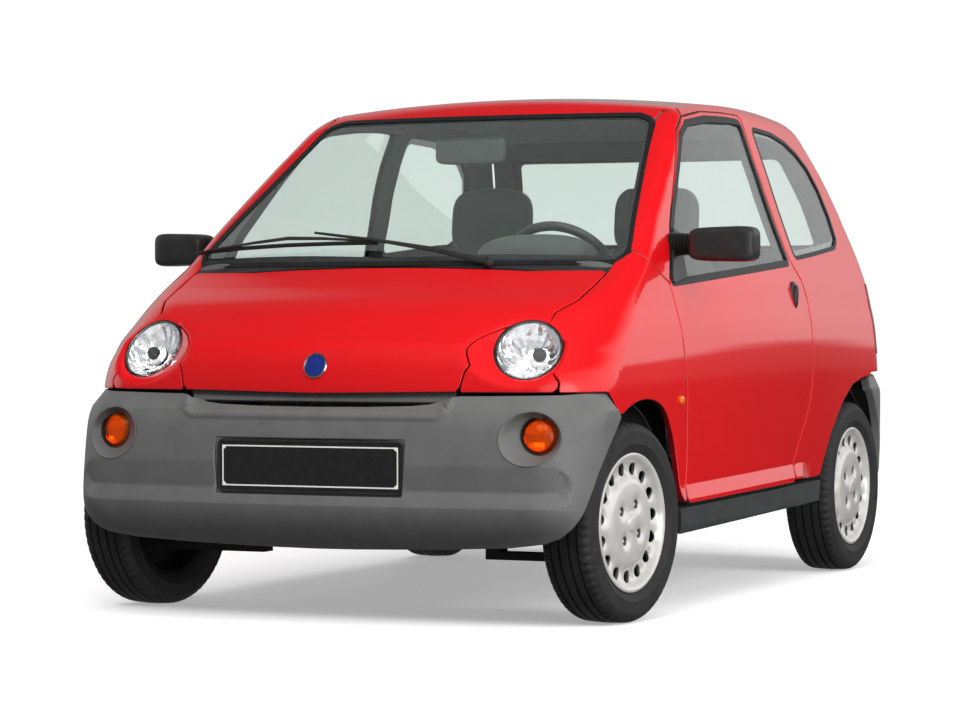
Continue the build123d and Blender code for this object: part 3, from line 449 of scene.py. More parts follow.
def finish(name, light, dark, grain, roughness, bump=0.1, bump_grain=None, **sockets):
    """A finish whose colour, roughness and relief follow noise of a real size in millimetres."""
    material = bpy.data.materials.new(name)
    material.use_nodes = True
    nodes, links = material.node_tree.nodes, material.node_tree.links
    shader = nodes["Principled BSDF"]
    place = nodes.new("ShaderNodeTexCoord")

    def noise_of(size, detail):
        """Noise whose grains have a size in millimetres."""
        node = nodes.new("ShaderNodeTexNoise")
        node.inputs["Scale"].default_value = 1000 / size
        node.inputs["Detail"].default_value = detail
        links.new(place.outputs["Object"], node.inputs["Vector"])
        return node

    noise = noise_of(grain, 5)
    ramp = nodes.new("ShaderNodeValToRGB")
    for stop, position, colour in zip(ramp.color_ramp.elements, (0.3, 0.7), (dark, light)):
        stop.position, stop.color = position, (*colour, 1)
    links.new(noise.outputs["Fac"], ramp.inputs["Fac"])
    links.new(ramp.outputs["Color"], shader.inputs["Base Color"])
    spread = nodes.new("ShaderNodeMapRange")
    spread.inputs["To Min"].default_value, spread.inputs["To Max"].default_value = roughness
    links.new(noise.outputs["Fac"], spread.inputs["Value"])
    links.new(spread.outputs["Result"], shader.inputs["Roughness"])
    relief = nodes.new("ShaderNodeBump")
    relief.inputs["Strength"].default_value = bump
    relief.inputs["Distance"].default_value = RELIEF_HEIGHT
    links.new(noise_of(bump_grain or grain, 3).outputs["Fac"], relief.inputs["Height"])
    links.new(relief.outputs["Normal"], shader.inputs["Normal"])
    for socket, value in sockets.items():
        shader.inputs[socket.replace("_", " ")].default_value = value
    return material


# %% Paint, plastics, rubber
RED_PAINT = finish(
    "red_gloss_paint", (0.66, 0.004, 0.007), (0.6, 0.003, 0.006), 900, (0.3, 0.36), 0.012, 1.2,
    Coat_Weight=1.0, Coat_Roughness=0.01, Coat_IOR=1.62, Specular_IOR_Level=0.25,
)
BUMPER_GREY = finish(
    "grey_moulded_bumper", (0.125, 0.128, 0.124), (0.108, 0.11, 0.107), 60, (0.36, 0.44), 0.14, 1.4,
)
BLACK_PLASTIC = finish(
    "black_grained_plastic", (0.03, 0.03, 0.03), (0.02, 0.02, 0.021), 40, (0.28, 0.38), 0.25, 1.2,
)
SILL_PLASTIC = finish(
    "charcoal_sill_plastic", (0.04, 0.042, 0.042), (0.03, 0.031, 0.032), 50, (0.5, 0.6), 0.25, 1.3,
)
SEAL_RUBBER = finish(
    "black_seal_rubber", (0.016, 0.016, 0.017), (0.01, 0.01, 0.011), 25, (0.36, 0.5), 0.2, 1.0,
)
GLASS_BORDER = finish(
    "black_fired_border", (0.006, 0.007, 0.007), (0.004, 0.004, 0.004), 30, (0.05, 0.08), 0.01, 2.0,
    Coat_Weight=1.0, Coat_Roughness=0.01,
)
TRIM_GREY = finish(
    "grey_cabin_trim", (0.1, 0.105, 0.1), (0.075, 0.08, 0.077), 30, (0.6, 0.75), 0.35, 1.6,
)
LINING = finish(
    "pale_roof_lining", (0.3, 0.31, 0.3), (0.24, 0.25, 0.24), 12, (0.85, 0.95), 0.5, 1.5,
)
PILLAR_TRIM = finish(
    "pale_pillar_trim", (0.5, 0.51, 0.5), (0.42, 0.43, 0.42), 30, (0.6, 0.75), 0.3, 1.6,
)
UNDERSEAL = finish(
    "black_underseal", (0.02, 0.019, 0.018), (0.012, 0.012, 0.012), 18, (0.6, 0.85), 0.6, 4.0,
)
BARE_STEEL = finish(
    "dull_bare_steel", (0.2, 0.19, 0.18), (0.11, 0.1, 0.095), 25, (0.35, 0.6), 0.3, 2.0, Metallic=0.85,
)
ENGINE_ALLOY = finish(
    "cast_engine_alloy", (0.25, 0.25, 0.25), (0.12, 0.12, 0.12), 14, (0.45, 0.7), 0.6, 3.0, Metallic=0.7,
)
print("finishes:", len(bpy.data.materials))

# %% [markdown]
# ## Seams
# The shut lines are drawn once, as places on the body, and every panel borrows its border from
# them. That is why neighbouring panels always meet with the same narrow gap.

# %% Places on the body
def dense(points):
    """A closed flat outline with its long sides divided, so that every panel bends alike along it."""
    return resample(points, 90.0)


door_edge = on_body(
    row(
        (-560, 281), (-546, 400), (-541, 560), (-553, 736), (-572, 858), (-462, 1012),
        (-322, 1160), (-196, 1282), (-120, 1322), (60, 1346), (240, 1351), (370, 1350),
        (363, 1222), (374, 1126), (396, 1031), (422, 942), (442, 913), (484, 872),
        (503, 814), (492, 700), (478, 610), (452, 530),
        (400, 461), (334, 398), (295, 350), (290, 293),
    ),
    LEFT,
)
door_window = on_body(
    row(
        (-556, 853), (-559, 868), (-452, 1016), (-313, 1158), (-190, 1274), (-114, 1310), (60, 1331),
        (240, 1336), (355, 1334), (350, 1222), (361, 1126), (383, 1031), (406, 946), (410, 915),
    ),
    LEFT,
)
quarter_window = on_body(
    row(
        (436, 1318), (620, 1310), (740, 1290), (830, 1258), (900, 1214), (946, 1148), (974, 1067),
        (972, 996), (920, 970), (700, 950), (477, 932), (459, 1032), (440, 1129), (433, 1229),
    ),
    LEFT,
)
screen = on_body(
    dense(row((-634, 916), (634, 916), (497, 1312), (450, 1326), (-450, 1326), (-497, 1312))), FRONT
)
tail_outline = (
    (-560, 622), (560, 622), (604, 660), (612, 860), (600, 985), (556, 1150), (500, 1322),
    (-500, 1322), (-556, 1150), (-600, 985), (-612, 860), (-604, 660),
)
tailgate = on_body(dense(row(*tail_outline)), REAR)
rear_screen = on_body(
    dense(row((530, 962), (-530, 962), (-500, 1120), (-456, 1276), (456, 1276), (500, 1120))), REAR
)
print("door seam", door_edge.min(0).round(), door_edge.max(0).round())

# %% [markdown]
# ## The dished lamp seats and the flared sill lip
# The headlamps sit at the bottom of round dishes that are cut into the nose at a slant. A cone
# subtracted from the body, with a soft seam between the two, gives the almond outline of the
# real dish by itself. The doors' lower edge kicks out into a lip, which is added the same way.

# %% Details of the painted form
LAMP = np.array([536.0, -1126.0, 693.0])
LAMP_RADIUS = 86.0
LAMP_TURN, LAMP_TILT = math.radians(10), math.radians(33)
LAMP_OUT = np.array([math.sin(LAMP_TURN), -math.cos(LAMP_TURN), 0]) * math.cos(LAMP_TILT)
LAMP_OUT[2] = math.sin(LAMP_TILT)
LAMP_SEAT = LAMP_RADIUS + 3  # the dish starts just outside the lens
DISH_FLARE, DISH_DRIFT, DISH_SOFTNESS = 1.25, (-0.55, -0.5), 16.0
LIP_FRONT_Y, LIP_FRONT_Z, LIP_RISE = -560.0, 331.0, 0.018
LIP_REACH, LIP_HEIGHT = 9.5, 38.0
LIP_END_Y, LIP_FADE = 450.0, 110.0  # the lip dies away before the rear wheel


def soft_most(a, b, softness):
    """The larger of two distances, with a rounded change from one to the other."""
    blend = np.maximum(softness - np.abs(a - b), 0) / softness
    return np.maximum(a, b) + blend * blend * softness / 4


def dish(p):
    """Distance outside the cone that makes a lamp's dish."""
    across, up, out = flat_axes(LAMP_OUT)
    d = np.stack([np.abs(p[..., 0]), p[..., 1], p[..., 2]], -1) - LAMP
    height = d @ out
    rise = np.maximum(height, 0)
    radius = np.hypot(d @ across - DISH_DRIFT[0] * rise, d @ up - DISH_DRIFT[1] * rise)
    cone = (radius - LAMP_SEAT - DISH_FLARE * rise) / math.hypot(1, DISH_FLARE)
    return np.maximum(cone, -height - 4)


def lip_top(y):
    """Height of the lip's upper crease, which climbs a little towards the rear."""
    return LIP_FRONT_Z + LIP_RISE * (y - LIP_FRONT_Y)


def painted(p):
    """The painted body with its lamp dishes and its flared lower lip."""
    lip = np.clip((lip_top(p[..., 1]) - p[..., 2]) / LIP_HEIGHT, 0, 1) * LIP_REACH
    fade = np.clip((LIP_END_Y - p[..., 1]) / LIP_FADE, 0, 1)
    return soft_most(body(p) - lip * fade * fade * (3 - 2 * fade), -dish(p), DISH_SOFTNESS)


# %% [markdown]
# ## Bonnet, lamp panels and wings
# The bonnet is one moulding from the screen to the bumper. It follows each dish's lip, so its
# border there is found by walking round the lamp, not drawn by hand.

# %% The border round a lamp
def dish_lip(first, last, count=24):
    """Points on the lip of the left dish between two angles, in degrees from the car's outside."""
    across, up, out = flat_axes(LAMP_OUT)
    points = []
    for turn in np.radians(np.linspace(first, last, count)):
        way = across * math.cos(turn) + up * math.sin(turn)
        low, high = 0.0, 140.0
        for _ in range(40):
            middle = (low + high) / 2
            drift = across * DISH_DRIFT[0] * middle + up * DISH_DRIFT[1] * middle
            p = LAMP + out * middle + drift + way * (LAMP_SEAT + DISH_FLARE * middle)
            if body(p[None])[0] < 0:
                low = middle
            else:
                high = middle
        points.append(p)
    return np.array(points)


print("dish lip", dish_lip(0, 270, 4).round().tolist())

# %% Bonnet
def span(a, b, view, count=9):
    """Places on the body along a straight flat line."""
    return on_body(np.linspace(a, b, count), view)


def round_nose(first, last, z, count=8, view="nose"):
    """Places on the body at one height, between two angles from the middle of the nose or tail."""
    angles = np.radians(np.linspace(first, last, count)) * WRAP
    return cast(np.stack([angles, 0 * angles + z], 1), view, body)


SKIRT_Z, SKIRT_MIDDLE_Z = 585.0, 579.0  # lower edge of the painted nose, over the bumper
SLOPE = (0, -1, 1)
seam_low = on_body(row((389, SKIRT_Z), (401, 636), (412, 656)), FRONT)
seam_high = on_body(row((566, 785), (597, 815), (605, 862), (606, 891)), FRONT)
rear_corner = on_body(row((605, -775)), ABOVE)
half_bonnet = np.concatenate([seam_low, dish_lip(192, 61), seam_high, rear_corner])
bonnet_border = np.concatenate(
    [
        span((0, SKIRT_MIDDLE_Z), (380, SKIRT_Z), FRONT),
        half_bonnet,
        on_body(row((400, -822), (200, -834), (0, -838)), ABOVE),
        other_side(on_body(row((200, -834), (400, -822)), ABOVE)),
        other_side(half_bonnet[::-1]),
        other_side(span((380, SKIRT_Z), (48, SKIRT_MIDDLE_Z + 0.8), FRONT, 8)),
    ]
)
bonnet = panel("bonnet_panel", bonnet_border, SLOPE, painted, 2, depth=16)
UNDERSIDE = finish("dark_red_underside", (0.2, 0.004, 0.008), (0.15, 0.003, 0.006), 40, (0.4, 0.5), 0.1)


def dress(piece, body_name, nodes, slot_name, *materials):
    """Give a piece its finishes, its body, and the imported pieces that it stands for."""
    for material in materials:
        piece.data.materials.append(material)
    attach(piece, body_name)
    if nodes:
        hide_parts(*([nodes] if isinstance(nodes, str) else nodes))
    return piece


dress(bonnet, "bonnet_lid", "bonnet", "red_paint", RED_PAINT, UNDERSIDE)

# %% Lamp panels and wings, left and right
ARCH_LINE = row(
    (-1048, 583), (-1032, 566), (-996, 529), (-970, 527), (-944, 538), (-916, 547), (-888, 554),
    (-859, 558), (-826, 560), (-793, 559), (-762, 555), (-733, 547), (-711, 538), (-693, 526),
    (-675, 509), (-658, 486), (-643, 461), (-630, 434), (-609, 373), (-586, 301), (-575, 281),
)
lamp_border = np.concatenate(
    [
        dish_lip(-40, 192, 48),
        seam_low[::-1],
        span((395, SKIRT_Z), (633, SKIRT_Z), FRONT),
        on_body(row((634, 612)), FRONT),
    ]
)
wing_border = np.concatenate(
    [
        on_body(row((633, SKIRT_Z)), FRONT),
        round_nose(51, 59.5, SKIRT_Z),
        on_body(ARCH_LINE, LEFT),
        door_edge[:5],
        on_body(row((-629, 889)), LEFT),
        on_body(row((676, 919), (654, 937), (637, 944), (607, 919)), FRONT),
        rear_corner,
        seam_high[::-1],
        dish_lip(61, -40, 24),
        on_body(row((634, 612)), FRONT),
    ]
)


def circle_at(centre, radius, out, count):
    """A flat ring of points."""
    across, up, _ = flat_axes(out)
    turns = np.linspace(0, 2 * math.pi, count, endpoint=False)
    return np.array([centre + radius * (across * math.cos(t) + up * math.sin(t)) for t in turns])


lamp_hole = circle_at(LAMP, LAMP_RADIUS + 1.5, LAMP_OUT, 60)
WING_VIEW = (0.75, -0.5, 0.45)
for side, sign in SIDES:
    turn = (sign, 1, 1)
    piece = panel(
        f"lamp_panel_{side}", lamp_border * turn, LAMP_OUT * turn, painted, 2,
        [(lamp_hole * turn, 1, 0)], depth=14, grid=7,
    )
    dress(piece, "shell", "lamp_panels", "red_paint", RED_PAINT, UNDERSIDE)
    view = np.multiply(WING_VIEW, turn)
    piece = panel(f"wing_panel_{side}", wing_border * turn, view, painted, 8, depth=16)
    dress(piece, "shell", f"wing_{side}", "red_paint", RED_PAINT, UNDERSIDE)

# %% [markdown]
# ## Cabin sides, doors, roof and tailgate
# Above the doors the body side is a slim rail that runs from the screen to the rear quarter.
# Each border is again taken from the same seams. The doors are deep boxes, so their panels get
# the whole door's depth, with grey trim on the inside.

# %% Pillars, roof rails and rear quarters
CREASE_HALF = 1.5  # the net follows a crease on both sides at this distance


def lip_crease(below):
    """The two lines beside a crease that runs along the lip, some millimetres below its top."""
    spots = np.linspace(-600, 500, 60)
    offsets = (CREASE_HALF, -CREASE_HALF)
    return [cast(np.stack([spots, lip_top(spots) - below + d], 1), LEFT, painted) for d in offsets]


lip_lines = lip_crease(0) + lip_crease(LIP_HEIGHT)
QUARTER_VIEW, PILLAR_VIEW, TAIL_VIEW = (0.7, 0.55, 0.45), (0.8, -0.4, 0.45), (0, 0.94, 0.34)
RAIL_X = 505.0
BUMPER_SEAM_Z = 591.0


def under(depth):
    """The body's form moved in by some millimetres."""
    return lambda p: body(p) + depth


roof_corner = on_body(row((503, 1313)), FRONT)
rail_start = on_body(row((RAIL_X, -140)), ABOVE)
pillar_border = np.concatenate(
    [
        on_body(row((654, 937), (676, 919)), FRONT),
        on_body(row((-629, 889)), LEFT),
        door_edge[4:9],
        on_body(row((RAIL_X + 12, -70)), ABOVE),
        rail_start,
        roof_corner,
        on_body(row((535, 1212), (569, 1110), (603, 1010), (628, 945)), FRONT),
    ]
)
tail_edge = [
    (500, 1322), (556, 1150), (600, 985), (612, 860), (604, 660), (560, 622), (280, 622), (-1.6, 622),
]
quarter_border = np.concatenate(
    [
        rail_start,
        on_body(row((RAIL_X + 12, -70)), ABOVE),
        door_edge[8:25],
        on_body(row((290, 293), (535, 299), (550, 307), (600, 366), (662, 429), (770, 510)), LEFT),
        on_body(row((864, 557), (979, 577), (1060, 580)), LEFT),
        round_nose(-60, -36, BUMPER_SEAM_Z, 12, "tail"),
        on_body(row((400, BUMPER_SEAM_Z), (200, BUMPER_SEAM_Z), (-1.6, BUMPER_SEAM_Z)), REAR),
        on_body(row(*tail_edge[::-1]), REAR),
        on_body(row((RAIL_X, 900), (RAIL_X, 600), (RAIL_X, 200)), ABOVE),
    ]
)
for side, sign in SIDES:
    turn = (sign, 1, 1)
    piece = panel(f"pillar_{side}", pillar_border * turn, np.multiply(PILLAR_VIEW, turn), painted, 6)
    dress(piece, "shell", None, "red_paint", RED_PAINT, PILLAR_TRIM)
    piece = panel(
        f"rear_quarter_{side}", quarter_border * turn, np.multiply(QUARTER_VIEW, turn), painted, 5,
        [(quarter_window * turn, 30, 0)], creases=[line * turn for line in lip_lines],
    )
    dress(piece, "shell", f"body_side_{side}", "red_paint", RED_PAINT, TRIM_GREY)

# %% Doors, roof and tailgate
for side, sign in SIDES:
    turn = (sign, 1, 1)
    piece = panel(
        f"door_panel_{side}", door_edge * turn, np.multiply(LEFT, turn), painted, 22,
        [(door_window * turn, 26, 0)], 38, creases=[line * turn for line in lip_lines],
    )
    dress(piece, f"door_{side}_leaf", f"door_{side}", "red_paint", RED_PAINT, TRIM_GREY)
roof_edge = on_body(row((RAIL_X, -140), (RAIL_X, 200), (RAIL_X, 600), (RAIL_X, 900)), ABOVE)
roof_border = np.concatenate(
    [
        roof_corner,
        roof_edge,
        on_body(np.linspace((500, 1322), (-500, 1322), 13), REAR),
        other_side(roof_edge[::-1]),
        other_side(roof_corner),
        on_body(np.linspace((-450, 1329), (450, 1329), 11), FRONT),
    ]
)
piece = panel("roof_panel", roof_border, ABOVE, painted, 5, depth=14)
dress(piece, "shell", "roof", "red_paint", RED_PAINT, LINING)
piece = panel("tailgate_panel", tailgate, TAIL_VIEW, painted, 30, [(rear_screen, 40, 0)], depth=26)
dress(piece, "tailgate_lid", "tailgate", "red_paint", RED_PAINT, TRIM_GREY)

# %% [markdown]
# ## Glass
# Each window is a 5 mm pane set 4 mm under the paint. All panes but the doors' have a black
# fired border on their inner face, and a rubber seal closes the gap round every pane. The panes
# are real solids, because a single sheet would bend light wrongly.

# %% Panes, fired borders and seals
def glass(name, tint):
    """Clear tinted glass whose faint smears follow soft noise."""
    darker = [c * 0.97 for c in tint]
    return finish(name, tint, darker, 500, (0.0, 0.02), 0.0, 300, Transmission_Weight=1.0, IOR=1.45)


TINTED_GLASS = glass("green_grey_glass", (0.83, 0.9, 0.87))
CLEAR_LENS = glass("clear_moulded_lens", (0.97, 0.98, 0.98))
PANE_INSET, PANE_DEPTH = 4.0, 5.0
BORDER_INSET, BORDER_DEPTH = 9.4, 0.8
SEAL_PROUD, SEAL_DEPTH = 0.5, 9.0


def ring(name, outline, radius, outer, inner, view, form, depth, edge=2.0):
    """A narrow band round an outline, from outer millimetres outside to inner inside it."""
    return panel(name, outline, view, form, radius, [(outline, radius, -inner)], depth, edge, 40, -outer)


def window(name, outline, radius, view, body_name, node, border=0.0, seal=9.0, outer=4.0):
    """One pane with its seal and, where border gives its width, its fired border."""
    pane = panel(
        f"{name}_pane", outline, view, under(PANE_INSET), radius, depth=PANE_DEPTH, edge=0.6, grid=30, gap=1.0
    )
    dress(pane, body_name, node, "tinted_glass", TINTED_GLASS, TINTED_GLASS)
    pane.data.normals_split_custom_set_from_vertices([v.normal for v in pane.data.vertices])
    rubber = ring(f"{name}_seal", outline, radius, outer, seal, view, under(-SEAL_PROUD), SEAL_DEPTH)
    dress(rubber, body_name, None, "black_plastic", SEAL_RUBBER, SEAL_RUBBER)
    if border:
        black = ring(
            f"{name}_fired_border", outline, radius + 20, -1.0, border, view,
            under(BORDER_INSET), BORDER_DEPTH, 0.3,
        )
        dress(black, body_name, None, "black_plastic", GLASS_BORDER, GLASS_BORDER)


window("windscreen", screen, 42, FRONT, "shell", "windscreen", border=14, seal=5, outer=9)
window("rear_screen", rear_screen, 40, TAIL_VIEW, "tailgate_lid", "tailgate_glass", border=30)
for side, sign in SIDES:
    turn = (sign, 1, 1)
    out = np.multiply(LEFT, turn)
    window(f"door_{side}", door_window * turn, 26, out, f"door_{side}_leaf", f"door_glass_{side}", seal=17)
    window(f"quarter_{side}", quarter_window * turn, 30, out, "shell", "quarter_glass", border=22, seal=10)

# %% Cowl under the windscreen
scuttle_border = np.concatenate(
    [
        on_body(row((598, -782), (400, -806), (0, -822)), ABOVE),
        other_side(on_body(row((400, -806), (598, -782)), ABOVE)),
        on_body(row((-628, 934), (-600, 925), (0, 925), (600, 925), (628, 934)), FRONT),
    ]
)
piece = panel("scuttle_cowl", scuttle_border, SLOPE, under(6), 4, depth=14, gap=-8)
dress(piece, "shell", "scuttle", "black_plastic", BLACK_PLASTIC, BLACK_PLASTIC)

# %% [markdown]
# ## Bumpers
# The bumpers are thick grey mouldings that wrap round each end to the wheel arches. Their form
# has its own table. A crease runs low round each one, and below it the moulding tucks under.
# At the front, two soft funnels hold the indicators, and a slot feeds air to the engine.

# %% The bumpers' form
# columns as in the body's own table
BUMPER_SECTIONS = np.array(
    [
        (190, -1314, 745, 1312, 4200, 170, 130, 40000),
        (305, -1314, 747, 1314, 4200, 160, 130, 40000),
        (410, -1301, 748, 1315, 4200, 155, 130, 40000),
        (500, -1286, 748, 1315, 4000, 155, 125, 40000),
        (586, -1254, 744, 1306, 3400, 180, 112, 40000),
    ],
    float,
)
CREASE_Z, SHOULDER_Z = 305.0, 541.0
TUCK, SHOULDER_LEAN = 0.06, 0.42  # millimetres inwards for each one down, or up past the shoulder
END_Y, END_FADE, END_CURL = 1120.0, 110.0, 0.0058  # past this the lower edge curls in more
FLAT_X, FLAT_FADE = 690.0, 60.0  # the tuck dies away outside this
BAND_Z, BAND_HALF_HIGH, BAND_HALF_WIDE, BAND_DEPTH = 358.0, 53.0, 692.0, 13.0
SCOOP_HALF, SCOOP_Z, SCOOP_CORNER = 386.0, 514.0, 46.0
SCOOP_DEEP, SCOOP_PROUD = 19.0, 5.0
INDICATOR = np.array([601.0, -1207.0, 482.0])
TUBE_RADIUS = 50.0
FUNNEL_MIDDLE, FUNNEL_HALF = (588.0, 476.0), (76.0, 66.0)
OPENING_HALF, SEAT_HALF = (266.0, 70.0), (280.0, 80.0)  # the plate's opening and the flat behind it
FRONT_PLATE_X, FRONT_OPENING_X, FRONT_PLATE_Z, REAR_PLATE_Z = 8.0, 4.0, 400.0, 425.0
FRONT_SEAT_Y, REAR_SEAT_Y = 1281.0, 1296.0


def bumper(p):
    """Signed distance from the bumpers' plain form."""
    x, y, z = p[..., 0], p[..., 1], p[..., 2]
    walls = plan_distance(x, y, z, BUMPER_SECTIONS)
    ends = np.clip((np.abs(y) - END_Y) / END_FADE, 0, 1)
    middle = np.clip((FLAT_X - np.abs(x)) / FLAT_FADE, 0, 1)
    drop = np.maximum(CREASE_Z - z, 0)
    top = np.maximum(z - SHOULDER_Z, 0)
    return walls + drop * TUCK * middle + drop * drop * END_CURL * ends + top * SHOULDER_LEAN


def soft_step(t):
    """A rise from 0 to 1 with soft ends."""
    t = np.clip(t, 0, 1)
    return t * t * (3 - 2 * t)


def front_bumper_form(p):
    """The front bumper with its long low band and the scoop under the air slot."""
    x, z = np.abs(p[..., 0]), p[..., 2]
    cap = np.maximum(x - BAND_HALF_WIDE + BAND_HALF_HIGH, 0)
    to_end = BAND_HALF_HIGH - np.hypot(cap, z - BAND_Z)
    up = (z - CREASE_Z) / (2 * BAND_HALF_HIGH)
    shape = np.minimum(np.minimum(up / 0.4, (1 - up) / 0.6), np.where(cap > 0, to_end / 30, 9.0))
    band = BAND_DEPTH * np.clip(shape, 0, 1) * (p[..., 1] < -1000)
    u, v = x - SCOOP_HALF + SCOOP_CORNER, SCOOP_Z + SCOOP_CORNER - z
    inside = SCOOP_CORNER - np.hypot(np.maximum(u, 0), np.maximum(v, 0)) - np.minimum(np.maximum(u, v), 0)
    scoop = SCOOP_DEEP * soft_step((inside - 15) / 24) - SCOOP_PROUD * soft_step(inside / 14)
    return bumper(p) + band + scoop


def side_places(points, form=bumper):
    """Places on a bumper, or on another form, from y and z."""
    return cast(np.array(points, float), LEFT, form)


CORNER_SIGNS = ((1, 1), (-1, 1), (-1, -1), (1, -1))


def oblong(x, z, half, view):
    """The corners of an oblong on a bumper, as a plate or its opening has them."""
    return cast(np.array([(x + a * half[0], z + b * half[1]) for a, b in CORNER_SIGNS]), view, bumper)


def plate_seat(name, x, z, view, seat_y):
    """The flat ground that a number plate is screwed to."""
    corners = oblong(x, z, SEAT_HALF, view)
    piece = panel(name, corners, view, lambda p: p[..., 1] * view[1] - seat_y, 4, depth=6, edge=1, grid=60)
    dress(piece, "shell", None, "grey_plastic", BUMPER_GREY, BUMPER_GREY)


def wrap_crease(z, reach, view, form):
    """The two lines beside a level crease that runs round a bumper."""
    spots = np.radians(np.linspace(-reach, reach, 120)) * WRAP
    offsets = (CREASE_HALF, -CREASE_HALF)
    return [cast(np.stack([spots, 0 * spots + z + d], 1), view, form) for d in offsets]


# %% Front bumper
SLOT = [(392, 581), (372, 578), (350, 569), (320, 560), (275, 556), (150, 553), (0, 552)]
slot_edge = cast(np.array(SLOT, float), FRONT, bumper)
half_top = np.concatenate(
    [
        slot_edge[::-1],
        cast(np.linspace((430, 581), (640, 584), 6), FRONT, bumper),
        side_places([(-1120, 587), (-1042, 586), (-1028, 562), (-994, 524)]),
        side_places([(-1023, 497), (-1079, 445), (-1131, 393), (-1164, 338), (-1186, 294)]),
        cast(np.array([(690, 257), (656, 229), (618, 215), (527, 203)], float), FRONT, bumper),
        cast(np.array([(366, 195), (230, 191), (110, 188), (4, 187)], float), FRONT, bumper),
    ]
)
bumper_border = np.concatenate([half_top, other_side(half_top[1:][::-1])])
indicator_out = np.array([0.14, -0.98, 0.08])
indicator_out /= np.linalg.norm(indicator_out)
plate_hole = oblong(FRONT_OPENING_X, FRONT_PLATE_Z, OPENING_HALF, FRONT)
turns = np.linspace(0, 2 * math.pi, 72, endpoint=False)
round_way = np.stack([np.cos(turns), np.sin(turns)], 1)
rim_flat = FUNNEL_MIDDLE + FUNNEL_HALF * round_way
funnel_rim = cast(rim_flat, FRONT, bumper)
front_creases = (
    wrap_crease(CREASE_Z, 47, "nose", front_bumper_form)
    + wrap_crease(SHOULDER_Z, 60, "nose", front_bumper_form)
    + wrap_crease(BAND_Z + BAND_HALF_HIGH, 46, "nose", front_bumper_form)[:1]
)
piece = panel(
    "front_bumper_skin", bumper_border, "nose", front_bumper_form, 8,
    [(plate_hole, 6, 0), (funnel_rim, 1, 0), (other_side(funnel_rim), 1, 0)], 26, 4, 9, 0, front_creases,
)
dress(piece, "shell", "front_bumper", "grey_plastic", BUMPER_GREY, BUMPER_GREY)

# %% Indicator funnels, each lofted from its oval rim down to the indicator's round tube
LOFT_STEPS, LOFT_BELLY = 8, 4.0
tube_ring = circle_at(INDICATOR, TUBE_RADIUS, indicator_out, len(turns))
top_ring = cast(rim_flat + 2.6 * round_way, FRONT, bumper)
rim_out = normal_at(top_ring, bumper)
rings = [
    top_ring * (1 - t) + tube_ring * t - rim_out * (0.35 + LOFT_BELLY * math.sin(math.pi * t))
    for t in np.linspace(0, 1, LOFT_STEPS + 1)
]
n = len(turns)
faces = [
    (i * n + j, (i + 1) * n + j, (i + 1) * n + (j + 1) % n, i * n + (j + 1) % n)
    for i in range(LOFT_STEPS) for j in range(n)
]
for side, sign in SIDES:
    places = np.concatenate(rings) * (sign, 1, 1)
    piece = new_piece(f"indicator_funnel_{side}", places, [f[::sign] for f in faces])
    thick = piece.modifiers.new("wall", "SOLIDIFY")
    thick.thickness, thick.offset = 0.003, -1
    dress(piece, "shell", None, "grey_plastic", BUMPER_GREY)

# %% The bar behind the air slot, and the ground behind the front plate
BAR_INSET = 30.0
bar_border = cast(
    np.concatenate([np.linspace((-392, 600), (392, 600), 9), np.linspace((380, 560), (-380, 560), 9)]),
    FRONT, bumper,
)


def bar_form(p):
    """The bumper's plan without its leaning shoulder, some way in."""
    return plan_distance(p[..., 0], p[..., 1], p[..., 2], BUMPER_SECTIONS) + BAR_INSET


piece = panel("intake_bar", bar_border, "nose", bar_form, 12, depth=10, grid=20, edge=4)
dress(piece, "shell", None, "grey_plastic", BUMPER_GREY, BUMPER_GREY)
plate_seat("front_plate_seat", FRONT_OPENING_X, FRONT_PLATE_Z, FRONT, FRONT_SEAT_Y)

# %% Rear bumper
half_rear = np.concatenate(
    [
        cast(np.linspace((0, 587), (-600, 587), 9), REAR, bumper),
        side_places([(1130, 587), (1066, 580), (1052, 560), (1040, 552)]),
        side_places([(1085, 500), (1130, 420), (1158, 330), (1166, 255), (1172, 191)]),
        cast(np.array([(math.radians(a) * WRAP, 190) for a in (-44, -34, -24, -12, 0)]), "tail", bumper),
    ]
)
rear_border = np.concatenate([half_rear, other_side(half_rear[1:-1][::-1])])
rear_plate_hole = oblong(0, REAR_PLATE_Z, OPENING_HALF, REAR)
piece = panel(
    "rear_bumper_skin", rear_border, "tail", bumper, 8, [(rear_plate_hole, 6, 0)], 26, 5, 14, 0,
    wrap_crease(CREASE_Z, 64, "tail", bumper),
)
dress(piece, "shell", "rear_bumper", "grey_plastic", BUMPER_GREY, BUMPER_GREY)
plate_seat("rear_plate_seat", 0, REAR_PLATE_Z, REAR, REAR_SEAT_Y)

# %% [markdown]
# ## Closings and sills
# Under the paint a real car has inner arches and a tail panel, so no daylight shows through its
# seams. A dark strip behind the rear seam and a flat plate inside each rear wheel do that here.
# The sills are plain covers that tuck under the doors.

